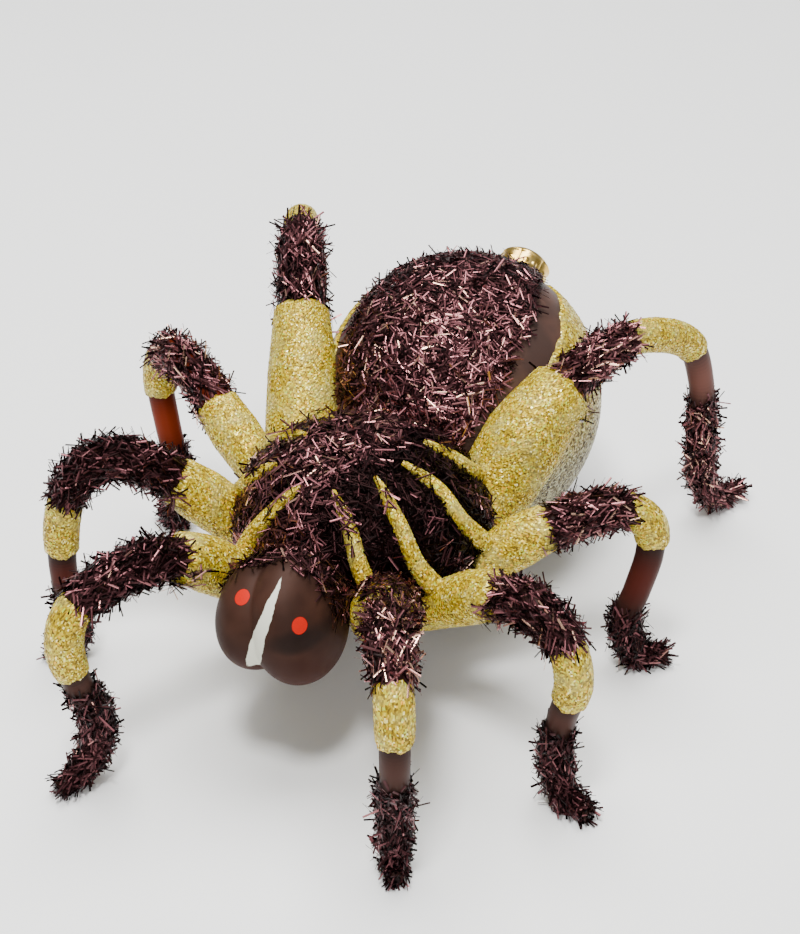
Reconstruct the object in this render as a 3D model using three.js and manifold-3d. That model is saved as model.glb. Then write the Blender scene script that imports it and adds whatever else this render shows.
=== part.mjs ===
// Blown-glass tarantula ornament that stands on its eight tinsel-covered feet.
//
// Millimetres, +Z up. The origin is on the floor, under the middle of the object.
// The spider faces -Y, so +X is its own left side. Glass bulbs make the abdomen and the
// carapace, the head has two lobes, and eight bent glass rods are the legs. Coats of cut
// tinsel and of glitter lie on the glass, each as a solid of its own.

import * as THREE from 'three';
import { mergeVertices } from 'three/addons/utils/BufferGeometryUtils.js';
import Module from 'manifold-3d';

const wasm = await Module();
wasm.setup();

// Air left between pieces that touch, and the wall of the blown bulbs.
const GAP = 0.3;
const GLASS_WALL = 1.4;
// Extra size of a faceted egg that must clear a rounder one.
const ROUNDING = 0.7;

// Abdomen: a bulb revolved about an axis that rises towards the rear.
const ABDOMEN_CENTRE = new THREE.Vector3(-0.6, 42.2, 37.1);
const ABDOMEN_RADIUS = 33.6;
const ABDOMEN_HALF_LENGTH = 35.2;
const ABDOMEN_TILT = 22.2;
const ABDOMEN_SIDES = 24;
const BULB_LATITUDES = [-90, -54, -36, -18, 0, 18, 36, 54, 68, 78];
const HOLLOW_LATITUDES = [54, 0, -50, -90];
const NECK_RADIUS = 5.0;
const NECK_FOOT = 35.4;
const NECK_END = 43.2;

// Coats on the abdomen, as strips between two roll angles about the bulb's axis, 0 at its top.
// The strip of bare glass between the saddle and the left glitter is wear that shows.
const COAT_LATITUDES = [-54, -36, -18, 0, 18, 36, 54];
const SADDLE = { from: -43, to: 30, thickness: 2.2, ruffle: 0.4 };
const GLITTER_LEFT = { from: 45, to: 135, thickness: 0.6, ruffle: 0 };
const GLITTER_RIGHT = { from: -135, to: -60, thickness: 0.6, ruffle: 0 };
const BELLY = { from: 150, to: 210, thickness: 1.2, ruffle: 0.2 };

// Cap: a stamped metal crown of six lobes, over the end of the neck.
const CAP_RADIUS = 6.4;
const CAP_WALL = 0.5;
const CAP_SKIRT_END = 37.8;
const CAP_RIM = 43.8;
const CAP_TOP = 44.6;
const CAP_LOBES = 6;
const CAP_LOBE_DEPTH = 0.35;
const CAP_SIDES = 18;

// Carapace: a low dome and its tinsel coat; the abdomen plugs into its rear.
const DOME_CENTRE = new THREE.Vector3(-0.5, -13.5, 38);
const DOME_RADII = new THREE.Vector3(28, 27.7, 21);
const DOME_SIDES = 16;
const DOME_STACKS = 8;
const DOME_COAT_THICKNESS = 2.2;
const DOME_COAT_STACKS = 4.4;
const DOME_COAT_RUFFLE = 0.4;

// Head: two lobes that meet in a groove.
const HEAD_LOBES = [
  { centre: [3.0, -51.5, 39.1], radii: [9.6, 13.6, 14.5], swing: -14 },
  { centre: [-5.2, -51.5, 38.2], radii: [9.4, 13.6, 12.1], swing: 0 },
];

// Ridges: raised glitter ribs that run over the dome, one to each leg.
const RIDGE_RADII = [1.5, 2.1, 2.3, 2.4];
const RIDGE_LIFT = 0.9;
const RIDGE_SIDES = 6;
// The slot cut for a ridge is a square tube, so much larger in radius than the ridge.
const SLOT_EXTRA = 1.3;

// Legs: each lies in an upright plane. root is where it leaves the dome, bearing is its heading in
// degrees from +X, arch is its centre line as [reach, height], bands are the distances along it
// where tinsel, glitter, bare glass and the foot's tinsel begin, coxa is its radius at the root,
// halfway and at the end of the first joint, rib is where its ridge crosses the dome, from above.
const SLIM_COXA = [5.4, 5.9, 5.2];
const LEGS = {
  l1: {
    root: [17, -39.5],
    bearing: -61.7,
    arch: [[0, 36], [12, 46], [24, 51], [34, 51], [41, 46], [43, 37], [42, 27], [39.7, 15], [40.6, 2.8], [45, 2.4]],
    bands: [19, 43.5, 58.5, 68],
    coxa: SLIM_COXA,
    rib: [[1.8, -30.2], [7, -34.6], [11, -38]],
  },
  l2: {
    root: [27, -28.5],
    bearing: -21.6,
    arch: [[0, 34.5], [13, 44], [25.5, 48], [34, 44.5], [37.3, 36], [34.7, 24], [33.5, 14], [36, 3.5], [44, 2.4]],
    bands: [20.5, 42.5, 57.5, 66.5],
    coxa: SLIM_COXA,
    rib: [[8.9, -23.6], [16, -28.7], [21.2, -30.8]],
  },
  l3: {
    root: [30, -10.5],
    bearing: 32.4,
    arch: [[0, 35], [10.5, 41.5], [20.5, 45], [29.5, 45.8], [35.5, 40.5], [36, 33], [33.8, 22.5], [31.6, 13.7],
      [35, 3.3], [42, 2.8]],
    bands: [15.5, 33, 47, 65.5],
    coxa: SLIM_COXA,
    rib: [[12.5, -15.5], [19.6, -15.8], [24.8, -16.8]],
  },
  l4: {
    root: [22, 7.5],
    bearing: 62.3,
    arch: [[0, 38], [13, 52.5], [26, 61.5], [38, 64.5], [50, 62], [61, 55], [66, 43], [68, 27], [70, 11],
      [76.5, 3.2], [84.5, 2.6]],
    bands: [30.5, 51, 76, 91],
    coxa: [9.0, 9.0, 6.6],
    rib: [[12.6, -4.1], [16.4, -3.2], [19.6, -1.7]],
  },
  r1: {
    root: [-18, -40.5],
    bearing: -115.2,
    arch: [[0, 35.5], [12.5, 46.5], [22.3, 50.5], [34.6, 50.5], [42, 46.5], [44.2, 39.2], [42, 28], [38.6, 17],
      [39.4, 9], [44.8, 3.3], [49.8, 2.4]],
    bands: [20, 46, 68, 73],
    coxa: [5.8, 6.3, 5.6],
    rib: [[-8.8, -30.7], [-13.9, -35.5], [-16, -36.3]],
  },
  r2: {
    root: [-28, -24.5],
    bearing: -149.2,
    arch: [[0, 38], [9, 46.5], [17.2, 53], [26, 56], [33, 52], [37.2, 42], [38.6, 30], [38.5, 21], [37.4, 11],
      [38.8, 3.0], [44.5, 2.3]],
    bands: [17, 48, 63, 73],
    coxa: [6.0, 6.3, 5.4],
    rib: [[-18.5, -23.5], [-22.5, -24.2], [-25, -24.4]],
  },
  r3: {
    root: [-31, -6.5],
    bearing: 153.7,
    arch: [[0, 40], [12.4, 46.5], [21.6, 52], [31, 54.5], [37.4, 51], [40, 42], [38, 31], [36, 22.8], [36, 12],
      [36.3, 3.1], [42.8, 2.3]],
    bands: [18.5, 42, 55, 68],
    coxa: SLIM_COXA,
    rib: [[-16, -13], [-21.5, -11.5], [-26, -9.5]],
  },
  r4: {
    root: [-27, 9.5],
    bearing: 116.6,
    arch: [[0, 38], [14, 50.5], [28, 61.5], [41, 68.5], [53, 67.5], [62.5, 58.5], [67.5, 46], [70, 28], [71.5, 12],
      [75.5, 3.3], [82, 2.5]],
    bands: [33, 56, 79, 94],
    coxa: [9.2, 8.7, 7.0],
    rib: [[-13.5, -4], [-17.5, -2], [-20.5, 0.5]],
  },
};
const LEG_SIDES = 7;
const COXA_INSET = 9;

// Radii of the glass rod at the four band starts, at the heel's bend and at the toe.
const ROD_RADII = [4.2, 3.5, 3.25, 3.1, 2.6, 1.6];
// Outer radii of the coats: tinsel on the thigh, glitter on the knee, tinsel on the foot.
const THIGH_RADII = [5.3, 5.7, 5.5, 4.9];
const KNEE_RADII = [4.0, 4.15, 4.1, 3.85];
const FOOT_RADII = [4.2, 4.9, 4.9, 4.5, 3.2];
const TINSEL_RUFFLE = 0.35;
const TOE_LENGTH = 7;
const TOE_COVER = 2.0;

const BROWN_GLASS = { color: 0x3a1f18, roughness: 0.3, metalness: 0.0 };
const TINSEL = { color: 0x4a1f2a, roughness: 0.35, metalness: 0.9 };
const GLITTER = { color: 0xd8bc58, roughness: 0.5, metalness: 0.3 };
const GOLD = { color: 0xc8982f, roughness: 0.25, metalness: 1.0 };

const UP = new THREE.Vector3(0, 0, 1);
const radians = THREE.MathUtils.degToRad;

/** Repeatable noise in -1 to 1 for the ragged surface of a tinsel coat. */
function ruffleAt(a, b) {
  const wave = Math.sin(a * 12.9898 + b * 78.233) * 43758.5453;
  return 2 * (wave - Math.floor(wave)) - 1;
}

/** A list of count + 1 even steps from one value to another. */
function steps(from, to, count) {
  return Array.from({ length: count + 1 }, (_, i) => from + ((to - from) * i) / count);
}

/** A named mesh with the colour and finish of its part. */
function part(name, geometry, finish) {
  const mesh = new THREE.Mesh(geometry, new THREE.MeshStandardMaterial(finish));
  mesh.name = name;
  return mesh;
}

/** A closed geometry as a solid that can be joined and cut. */
function solidOf(geometry) {
  const bare = new THREE.BufferGeometry();
  const source = geometry.index ? geometry.toNonIndexed() : geometry;
  bare.setAttribute('position', source.getAttribute('position'));
  const merged = mergeVertices(bare, 1e-3);
  return new wasm.Manifold(
    new wasm.Mesh({
      numProp: 3,
      vertProperties: merged.getAttribute('position').array,
      triVerts: new Uint32Array(merged.index.array),
    }),
  );
}

/** The largest body of a solid, as a geometry. */
function geometryOf(solid) {
  const bodies = solid.decompose().sort((a, b) => b.volume() - a.volume());
  const mesh = bodies[0].getMesh();
  const geometry = new THREE.BufferGeometry();
  geometry.setAttribute('position', new THREE.BufferAttribute(mesh.vertProperties, 3));
  geometry.setIndex(new THREE.BufferAttribute(mesh.triVerts, 1));
  geometry.computeVertexNormals();
  return geometry;
}

/** A geometry from points and triangles. */
function meshGeometry(points, index) {
  const geometry = new THREE.BufferGeometry().setFromPoints(points);
  geometry.setIndex(index);
  geometry.computeVertexNormals();
  return geometry;
}

/** Stitch rings of points into a closed surface. A ring of one point is a pole. */
function stitch(rings, loop = false) {
  const starts = [];
  let total = 0;
  for (const ring of rings) {
    starts.push(total);
    total += ring.length;
  }
  const index = [];
  const spans = loop ? rings.length : rings.length - 1;
  for (let i = 0; i < spans; i++) {
    const j = (i + 1) % rings.length;
    const [a, b] = [rings[i].length, rings[j].length];
    for (let k = 0; k < Math.max(a, b); k++) {
      const [a0, a1] = [starts[i] + (k % a), starts[i] + ((k + 1) % a)];
      const [b0, b1] = [starts[j] + (k % b), starts[j] + ((k + 1) % b)];
      if (a > 1) index.push(a0, a1, b0);
      if (b > 1) index.push(a1, b1, b0);
    }
  }
  return meshGeometry(rings.flat(), index);
}

/** A closed slab between two grids of points, given as functions of column and row. */
function slab(columns, rows, outer, inner) {
  const points = [];
  for (const surface of [outer, inner]) {
    for (let c = 0; c < columns; c++) {
      for (let r = 0; r < rows; r++) points.push(surface(c, r));
    }
  }
  const half = columns * rows;
  const at = (c, r, layer) => layer * half + c * rows + r;
  const index = [];
  const quad = (a, b, c, d) => index.push(a, c, b, a, d, c);
  for (let c = 0; c + 1 < columns; c++) {
    for (let r = 0; r + 1 < rows; r++) {
      quad(at(c, r, 0), at(c, r + 1, 0), at(c + 1, r + 1, 0), at(c + 1, r, 0));
      quad(at(c, r, 1), at(c + 1, r, 1), at(c + 1, r + 1, 1), at(c, r + 1, 1));
    }
    quad(at(c, 0, 0), at(c + 1, 0, 0), at(c + 1, 0, 1), at(c, 0, 1));
    quad(at(c, rows - 1, 0), at(c, rows - 1, 1), at(c + 1, rows - 1, 1), at(c + 1, rows - 1, 0));
  }
  for (let r = 0; r + 1 < rows; r++) {
    quad(at(0, r, 0), at(0, r, 1), at(0, r + 1, 1), at(0, r + 1, 0));
    quad(at(columns - 1, r, 0), at(columns - 1, r + 1, 0), at(columns - 1, r + 1, 1), at(columns - 1, r, 1));
  }
  return meshGeometry(points, index);
}

/** A ring of points about a centre, in the plane that the two unit vectors span. */
function ringOf(centre, across, normal, radius, sides, ruffle = 0, seed = 0) {
  return Array.from({ length: sides }, (_, k) => {
    const angle = (2 * Math.PI * k) / sides;
    const reach = radius + ruffle * ruffleAt(seed, k + 1);
    return centre
      .clone()
      .addScaledVector(across, reach * Math.cos(angle))
      .addScaledVector(normal, reach * Math.sin(angle));
  });
}

/** The centre line of one leg, measured along its length. */
class LegLine {
  constructor({ root, bearing, arch }) {
    const heading = new THREE.Vector3(Math.cos(radians(bearing)), Math.sin(radians(bearing)), 0);
    const start = new THREE.Vector3(root[0], root[1], 0);
    const points = arch.map(([reach, height]) =>
      start.clone().addScaledVector(heading, reach).addScaledVector(UP, height),
    );
    this.across = new THREE.Vector3().crossVectors(UP, heading);
    this.curve = new THREE.CatmullRomCurve3(points, false, 'centripetal');
    this.curve.arcLengthDivisions = 400;
    this.length = this.curve.getLength();
  }

  pointAt(distance) {
    return this.curve.getPointAt(distance / this.length);
  }

  tangentAt(distance) {
    return this.curve.getTangentAt(distance / this.length);
  }

  ringAt(distance, radius, ruffle = 0) {
    const normal = new THREE.Vector3().crossVectors(this.tangentAt(distance), this.across);
    return ringOf(this.pointAt(distance), this.across, normal, radius, LEG_SIDES, ruffle, distance);
  }
}

/** Interpolate a list of values spread evenly over 0 to 1. */
function spreadAt(values, u) {
  const place = Math.min(Math.max(u, 0), 1) * (values.length - 1);
  const i = Math.min(Math.floor(place), values.length - 2);
  return THREE.MathUtils.lerp(values[i], values[i + 1], place - i);
}

/** Where the sections of one leg begin and end, and the stations of the rod in each. */
function sectionsOf(line, bands) {
  const [thigh, knee, shin, foot] = bands;
  return {
    thigh: steps(thigh + GAP, knee, 3),
    knee: steps(knee + GAP, shin, 3),
    shin: steps(shin, foot, 2),
    foot: [...steps(foot, line.length - TOE_LENGTH, 3), line.length],
  };
}

/** Radius of the bare glass rod at a distance along the leg. */
function rodRadius(line, bands, distance) {
  const marks = [...bands, line.length - TOE_LENGTH, line.length];
  for (let i = 0; i + 1 < marks.length; i++) {
    if (distance <= marks[i + 1]) {
      const u = (distance - marks[i]) / (marks[i + 1] - marks[i]);
      return THREE.MathUtils.lerp(ROD_RADII[i], ROD_RADII[i + 1], Math.max(u, 0));
    }
  }
  return ROD_RADII[ROD_RADII.length - 1];
}

/** The bent glass rod of one leg, from the end of its first joint to the toe. */
function legRod(line, bands) {
  const sections = sectionsOf(line, bands);
  const stations = [...new Set([...sections.thigh, ...sections.knee, ...sections.shin, ...sections.foot])];
  const rings = stations.map((s) => line.ringAt(s, rodRadius(line, bands, s)));
  return stitch([[line.pointAt(stations[0])], ...rings, [line.pointAt(line.length)]]);
}

/** A coat that goes round the rod over the given stations. */
function sleeve(line, bands, stations, radii, ruffle) {
  const last = stations.length - 1;
  const outer = stations.map((s, i) => line.ringAt(s, spreadAt(radii, i / last), ruffle));
  const inner = stations.map((s) => line.ringAt(s, rodRadius(line, bands, s) + GAP));
  return stitch([...outer, ...inner.reverse()], true);
}

/** The tinsel boot of one foot: closed at the toe and flat where it stands. */
function boot(line, bands, floor) {
  const stations = sectionsOf(line, bands).foot;
  const last = stations.length - 1;
  const outer = stations.map((s, i) => line.ringAt(s, spreadAt(FOOT_RADII, i / last), TINSEL_RUFFLE));
  const inner = stations.map((s) => line.ringAt(s, rodRadius(line, bands, s) + GAP));
  const toe = line.pointAt(line.length);
  const ahead = line.tangentAt(line.length);
  const innerPole = [toe.clone().addScaledVector(ahead, GAP)];
  const outerPole = [toe.clone().addScaledVector(ahead, TOE_COVER)];
  const whole = stitch([innerPole, ...inner.reverse(), ...outer, outerPole]);
  return geometryOf(solidOf(whole).subtract(floor));
}

/** The swollen first joint of one leg, started inside the dome and grown by an allowance. */
function coxa(line, { bands, coxa: radii }, grow = 0) {
  const end = bands[0];
  const root = line.pointAt(0);
  const inward = DOME_CENTRE.clone().sub(root).setZ(0).setLength(COXA_INSET);
  const first = line.ringAt(0, radii[0] + grow).map((p) => p.add(inward));
  const rings = steps(0, end, 3).map((s) => line.ringAt(s, spreadAt(radii, s / end) + grow));
  return solidOf(stitch([[root.clone().add(inward)], first, ...rings, [line.pointAt(end)]]));
}

/** The glitter rib that runs over the dome from near its top down to one leg's root. */
function ridge(line, { rib }, sides = RIDGE_SIDES, grow = 0) {
  const root = line.pointAt(0);
  const size = DOME_RADII.clone().addScalar(RIDGE_LIFT);
  const onDome = ([x, y]) => {
    const off = new THREE.Vector3(x, y, 0).sub(DOME_CENTRE);
    const left = 1 - (off.x / size.x) ** 2 - (off.y / size.y) ** 2;
    return new THREE.Vector3(x, y, DOME_CENTRE.z + size.z * Math.sqrt(Math.max(left, 0)));
  };
  const spine = [...rib.map(onDome), root];
  const rings = spine.map((point, i) => {
    const ahead = spine[Math.min(i + 1, spine.length - 1)].clone().sub(spine[Math.max(i - 1, 0)]).normalize();
    const out = point.clone().sub(DOME_CENTRE).divide(DOME_RADII).divide(DOME_RADII);
    const across = new THREE.Vector3().crossVectors(out, ahead).normalize();
    const normal = new THREE.Vector3().crossVectors(ahead, across);
    return ringOf(point, across, normal, RIDGE_RADII[i] + grow, sides);
  });
  return solidOf(stitch([[spine[0]], ...rings, [root]]));
}

/** The limb base of one leg: ridge and first joint in one piece. */
function limbBase(line, leg) {
  return coxa(line, leg).add(ridge(line, leg));
}

/** The room that one limb base takes in the dome's coat: a slot for its ridge, and its joint with a gap. */
function limbRoom(line, leg) {
  return ridge(line, leg, 4, SLOT_EXTRA).add(coxa(line, leg, GAP));
}

/** An ellipsoid about a centre, grown by an allowance. */
function ellipsoid(centre, radii, sides, stacks, grow = 0) {
  const ball = new THREE.SphereGeometry(1, sides, stacks);
  ball.rotateX(Math.PI / 2);
  ball.scale(radii.x + grow, radii.y + grow, radii.z + grow);
  ball.translate(centre.x, centre.y, centre.z);
  return solidOf(ball);
}

/** The dome of the carapace, solid, grown by an allowance. */
function dome(grow) {
  return ellipsoid(DOME_CENTRE, DOME_RADII, DOME_SIDES, DOME_STACKS, grow);
}

/** The blown dome: hollow, with the hole where the abdomen is joined on. */
function carapace() {
  const hollow = ellipsoid(DOME_CENTRE, DOME_RADII, 10, 6, -GLASS_WALL);
  return geometryOf(dome(0).subtract(hollow).subtract(bulbRoom(GAP)));
}

/** Rings of the dome's coat at one allowance, from near the top to the rim. */
function domeRings(grow, ruffle) {
  const count = Math.ceil(DOME_COAT_STACKS);
  return Array.from({ length: count }, (_, i) => {
    const polar = (Math.PI / DOME_STACKS) * Math.min(i + 1, DOME_COAT_STACKS);
    return Array.from({ length: DOME_SIDES }, (_, k) => {
      const turn = (2 * Math.PI * k) / DOME_SIDES;
      const reach = grow + ruffle * ruffleAt(i + 3, k + 1);
      return new THREE.Vector3(
        (DOME_RADII.x + reach) * Math.sin(polar) * Math.cos(turn),
        (DOME_RADII.y + reach) * Math.sin(polar) * Math.sin(turn),
        (DOME_RADII.z + reach) * Math.cos(polar),
      ).add(DOME_CENTRE);
    });
  });
}

/** The tinsel on the dome, open where ridges, head and abdomen come through. */
function domeCoat(cutters) {
  const thick = GAP + DOME_COAT_THICKNESS;
  const top = (grow) => [DOME_CENTRE.clone().addScaledVector(UP, DOME_RADII.z + grow)];
  const whole = stitch([
    top(thick),
    ...domeRings(thick, DOME_COAT_RUFFLE).map((ring) => ring.reverse()),
    ...domeRings(GAP, 0).map((ring) => ring.reverse()).reverse(),
    top(GAP),
  ]);
  return geometryOf(cutters.reduce((coat, cutter) => coat.subtract(cutter), solidOf(whole)));
}

/** The two-lobed head, grown by an allowance. */
function headSolid(grow) {
  const lobes = HEAD_LOBES.map(({ centre, radii, swing }) => {
    const ball = new THREE.SphereGeometry(1, 12, 9);
    ball.rotateX(Math.PI / 2);
    ball.scale(radii[0] + grow, radii[1] + grow, radii[2] + grow);
    ball.rotateY(radians(swing));
    ball.translate(...centre);
    return solidOf(ball);
  });
  return lobes[0].add(lobes[1]);
}

/** A point of the bulb's profile at a latitude: distance from its axis, and along it. */
function bulbProfile(latitude, grow) {
  return new THREE.Vector2(
    (ABDOMEN_RADIUS + grow) * Math.cos(radians(latitude)),
    (ABDOMEN_HALF_LENGTH + grow) * Math.sin(radians(latitude)),
  );
}

/** The blown bulb with its neck, revolved about +Y. */
function abdomenBulb() {
  const inside = NECK_RADIUS - GLASS_WALL;
  const profile = [
    ...BULB_LATITUDES.map((latitude) => bulbProfile(latitude, 0)),
    new THREE.Vector2(NECK_RADIUS, NECK_FOOT),
    new THREE.Vector2(NECK_RADIUS, NECK_END),
    new THREE.Vector2(inside, NECK_END),
    new THREE.Vector2(inside, ABDOMEN_HALF_LENGTH - GLASS_WALL),
    ...HOLLOW_LATITUDES.map((latitude) => bulbProfile(latitude, -GLASS_WALL)),
  ];
  profile[0].x = 0;
  profile.at(-1).x = 0;
  return new THREE.LatheGeometry(profile, ABDOMEN_SIDES);
}

/** A coat on the bulb between two roll angles, in the bulb's own frame. */
function bulbCoat({ from, to, thickness, ruffle }) {
  const columns = Math.round((to - from) / (360 / ABDOMEN_SIDES)) + 1;
  const rolls = steps(from, to, columns - 1).map(radians);
  const surface = (grow, rough) => (c, r) => {
    const { x, y } = bulbProfile(COAT_LATITUDES[r], grow + rough * ruffleAt(c + from, r));
    return new THREE.Vector3(x * Math.sin(rolls[c]), y, x * Math.cos(rolls[c]));
  };
  return slab(columns, COAT_LATITUDES.length, surface(GAP + thickness, ruffle), surface(GAP, 0));
}

/** The lobed metal cap, revolved about +Y and pressed into petals. */
function cap() {
  const inside = CAP_RADIUS - CAP_WALL;
  const profile = [
    [0, CAP_TOP - CAP_WALL],
    [inside - 0.3, CAP_TOP - CAP_WALL],
    [inside, CAP_SKIRT_END],
    [CAP_RADIUS, CAP_SKIRT_END],
    [CAP_RADIUS + 0.1, 39.5],
    [CAP_RADIUS - 0.2, 41.8],
    [CAP_RADIUS + 0.3, CAP_RIM],
    [CAP_RADIUS - 0.2, CAP_TOP],
    [0, CAP_TOP],
  ].map(([x, y]) => new THREE.Vector2(x, y));
  const geometry = new THREE.LatheGeometry(profile, CAP_SIDES);
  const place = geometry.getAttribute('position');
  for (let i = 0; i < place.count; i++) {
    const radius = Math.hypot(place.getX(i), place.getZ(i));
    const isSkirt = place.getY(i) < CAP_RIM - 0.1 && radius > CAP_RADIUS - 0.25;
    if (!isSkirt) continue;
    const turn = Math.atan2(place.getX(i), place.getZ(i));
    const swell = 1 + (CAP_LOBE_DEPTH * Math.abs(Math.sin((CAP_LOBES / 2) * turn))) / radius;
    place.setX(i, place.getX(i) * swell);
    place.setZ(i, place.getZ(i) * swell);
  }
  geometry.computeVertexNormals();
  return geometry;
}

/** The abdomen's bulb as an egg that clears it by an allowance, in the frame of the whole. */
function bulbRoom(clear) {
  const egg = new THREE.SphereGeometry(1, 20, 14);
  const grow = clear + ROUNDING;
  egg.scale(ABDOMEN_RADIUS + grow, ABDOMEN_HALF_LENGTH + grow, ABDOMEN_RADIUS + grow);
  egg.rotateX(radians(ABDOMEN_TILT));
  egg.translate(ABDOMEN_CENTRE.x, ABDOMEN_CENTRE.y, ABDOMEN_CENTRE.z);
  return solidOf(egg);
}

/** A coat of the abdomen, in the abdomen's own frame, cut away where the dome stands. */
function fittedCoat(coat) {
  const ball = new THREE.SphereGeometry(1, DOME_SIDES, DOME_STACKS);
  ball.rotateX(Math.PI / 2);
  ball.scale(DOME_RADII.x + GAP, DOME_RADII.y + GAP, DOME_RADII.z + GAP);
  ball.translate(...DOME_CENTRE.clone().sub(ABDOMEN_CENTRE).toArray());
  ball.rotateX(radians(-ABDOMEN_TILT));
  return geometryOf(solidOf(bulbCoat(coat)).subtract(solidOf(ball)));
}

/** Everything that shares the abdomen's tilted axis. */
function abdomenGroup() {
  const group = new THREE.Group();
  group.position.copy(ABDOMEN_CENTRE);
  group.rotation.x = radians(ABDOMEN_TILT);
  group.add(
    part('abdomen', abdomenBulb(), BROWN_GLASS),
    part('abdomen_tinsel', fittedCoat(SADDLE), TINSEL),
    part('abdomen_glitter_left', fittedCoat(GLITTER_LEFT), GLITTER),
    part('abdomen_glitter_right', fittedCoat(GLITTER_RIGHT), GLITTER),
    part('abdomen_belly_tinsel', bulbCoat(BELLY), TINSEL),
    part('cap', cap(), GOLD),
  );
  return group;
}

/** The carapace and the head, cut back from each other and from the limb bases. */
function foreBody(lines) {
  const group = new THREE.Group();
  const rooms = Object.entries(LEGS).map(([name, leg]) => limbRoom(lines[name], leg));
  const saddleClear = GAP + SADDLE.thickness + SADDLE.ruffle + GAP;
  const abdomenRoom = new THREE.SphereGeometry(ABDOMEN_HALF_LENGTH + saddleClear, 12, 10);
  abdomenRoom.translate(ABDOMEN_CENTRE.x, ABDOMEN_CENTRE.y, ABDOMEN_CENTRE.z);
  group.add(
    part('carapace', carapace(), BROWN_GLASS),
    part('carapace_tinsel', domeCoat([...rooms, headSolid(GAP), solidOf(abdomenRoom)]), TINSEL),
    part('head', geometryOf(headSolid(0).subtract(dome(GAP))), BROWN_GLASS),
  );
  return group;
}

/** Room for the abdomen and its glitter, where the rear legs' bases lean on it. */
function flankRoom() {
  return bulbRoom(GAP + GLITTER_LEFT.thickness + GAP);
}

/** One leg with its base and its three coats. */
function legGroup(name, leg, line, floor) {
  const sections = sectionsOf(line, leg.bands);
  const base = geometryOf(limbBase(line, leg).subtract(dome(GAP)).subtract(headSolid(GAP)).subtract(flankRoom()));
  const thigh = sleeve(line, leg.bands, sections.thigh, THIGH_RADII, TINSEL_RUFFLE);
  const knee = sleeve(line, leg.bands, sections.knee, KNEE_RADII, 0);
  const group = new THREE.Group();
  group.add(
    part(`base_${name}`, base, GLITTER),
    part(`leg_${name}`, legRod(line, leg.bands), BROWN_GLASS),
    part(`thigh_tinsel_${name}`, thigh, TINSEL),
    part(`knee_glitter_${name}`, knee, GLITTER),
    part(`foot_tinsel_${name}`, boot(line, leg.bands, floor), TINSEL),
  );
  return group;
}

const ground = new THREE.BoxGeometry(400, 400, 40);
ground.translate(0, 0, -20);
const floor = solidOf(ground);
const lines = Object.fromEntries(Object.entries(LEGS).map(([name, leg]) => [name, new LegLine(leg)]));

const spider = new THREE.Group();
spider.add(abdomenGroup(), foreBody(lines));
for (const [name, leg] of Object.entries(LEGS)) {
  spider.add(legGroup(name, leg, lines[name], floor));
}

export default spider;
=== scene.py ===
"""Blown-glass tarantula ornament: its looks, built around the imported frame.

Lengths are in millimetres until a mesh is written; the lamps and the floor are
in metres. -Y is the head end, +X the spider's own left, +Z up, and the eight
feet stand on z = 0.
"""

import logging
import math
import zlib
from dataclasses import dataclass, field
from enum import Enum
from typing import Callable, Sequence

import bpy
import numpy as np
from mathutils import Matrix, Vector

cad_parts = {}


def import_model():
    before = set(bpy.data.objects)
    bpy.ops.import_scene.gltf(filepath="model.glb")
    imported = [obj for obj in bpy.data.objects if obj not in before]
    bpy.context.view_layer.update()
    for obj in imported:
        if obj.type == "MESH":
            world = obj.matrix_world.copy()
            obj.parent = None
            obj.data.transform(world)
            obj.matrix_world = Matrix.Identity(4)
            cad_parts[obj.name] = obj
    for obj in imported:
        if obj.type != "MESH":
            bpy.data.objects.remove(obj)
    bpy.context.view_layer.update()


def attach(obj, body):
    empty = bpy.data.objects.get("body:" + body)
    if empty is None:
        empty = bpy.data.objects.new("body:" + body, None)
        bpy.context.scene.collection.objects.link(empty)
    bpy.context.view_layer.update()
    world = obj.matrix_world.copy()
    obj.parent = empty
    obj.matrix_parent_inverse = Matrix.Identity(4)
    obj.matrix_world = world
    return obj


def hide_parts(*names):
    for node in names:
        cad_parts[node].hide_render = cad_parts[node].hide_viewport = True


LOG = logging.getLogger("tarantula")
Array = np.ndarray
Colour = tuple[float, float, float]
Stops = tuple[tuple[float, Colour], ...]

MM_PER_METRE = 1000.0
MM = 1.0 / MM_PER_METRE
UP = np.array([0.0, 0.0, 1.0])
FULL_TURN = 2 * math.pi

# Factors on the value and on the seed, and the height, of each sine of a wave.
WAVES = ((2.1, 1.0, 0.5), (4.7, 2.3, 0.3), (9.3, 4.1, 0.2))

# Colour sockets of the mix node.
MIX_COLOURS = (6, 7)
MIX_RESULT = 2

# Detail of the finer noises.
FINE = 3.0

# Noise values between which glass goes from its dark to its warm colour.
CLOUDS = (0.35, 0.7)
GLASS_IOR = 1.5

# A strip has three points at its foot and three at its end.
STRIP_POINTS = 6
STRIP_WALLS = np.array([[0, 3, 4, 1], [1, 4, 5, 2], [2, 5, 3, 0]])
STRIP_ENDS = np.array([[0, 1, 2], [3, 5, 4]])
FLOOR_CLEARANCE = 0.06

# How far strips start above the bodies' glass, and below the skin of a leg's coat.
STRIP_LIFT = 0.3
STRIP_SINK = 0.4

# Points on each span of a curve, and the step on either side that a direction is taken over.
LEG_STEPS = 40
RIB_STEPS = 24
TANGENT_STEP = 0.4

# How far a base runs under its thigh, and where its rib ends in it.
BASE_LAP = 0.6
RIB_ROOT = 1.5

# Grids of the glass tubes and of the dark sleeves under the legs' tinsel, which are painted shade between
# the strips.
TUBE_ROWS = 90
TUBE_SIDES = 32
SLEEVE_STEP = 1.5
SLEEVE_SIDES = 20
SLEEVE_SHADE_TONE = 0.06

# Share of its radius that a coat has at its very end, and what it has more away from it.
CRUST_END = (0.55, 0.45)
SLEEVE_END = (0.72, 0.28)

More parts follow.
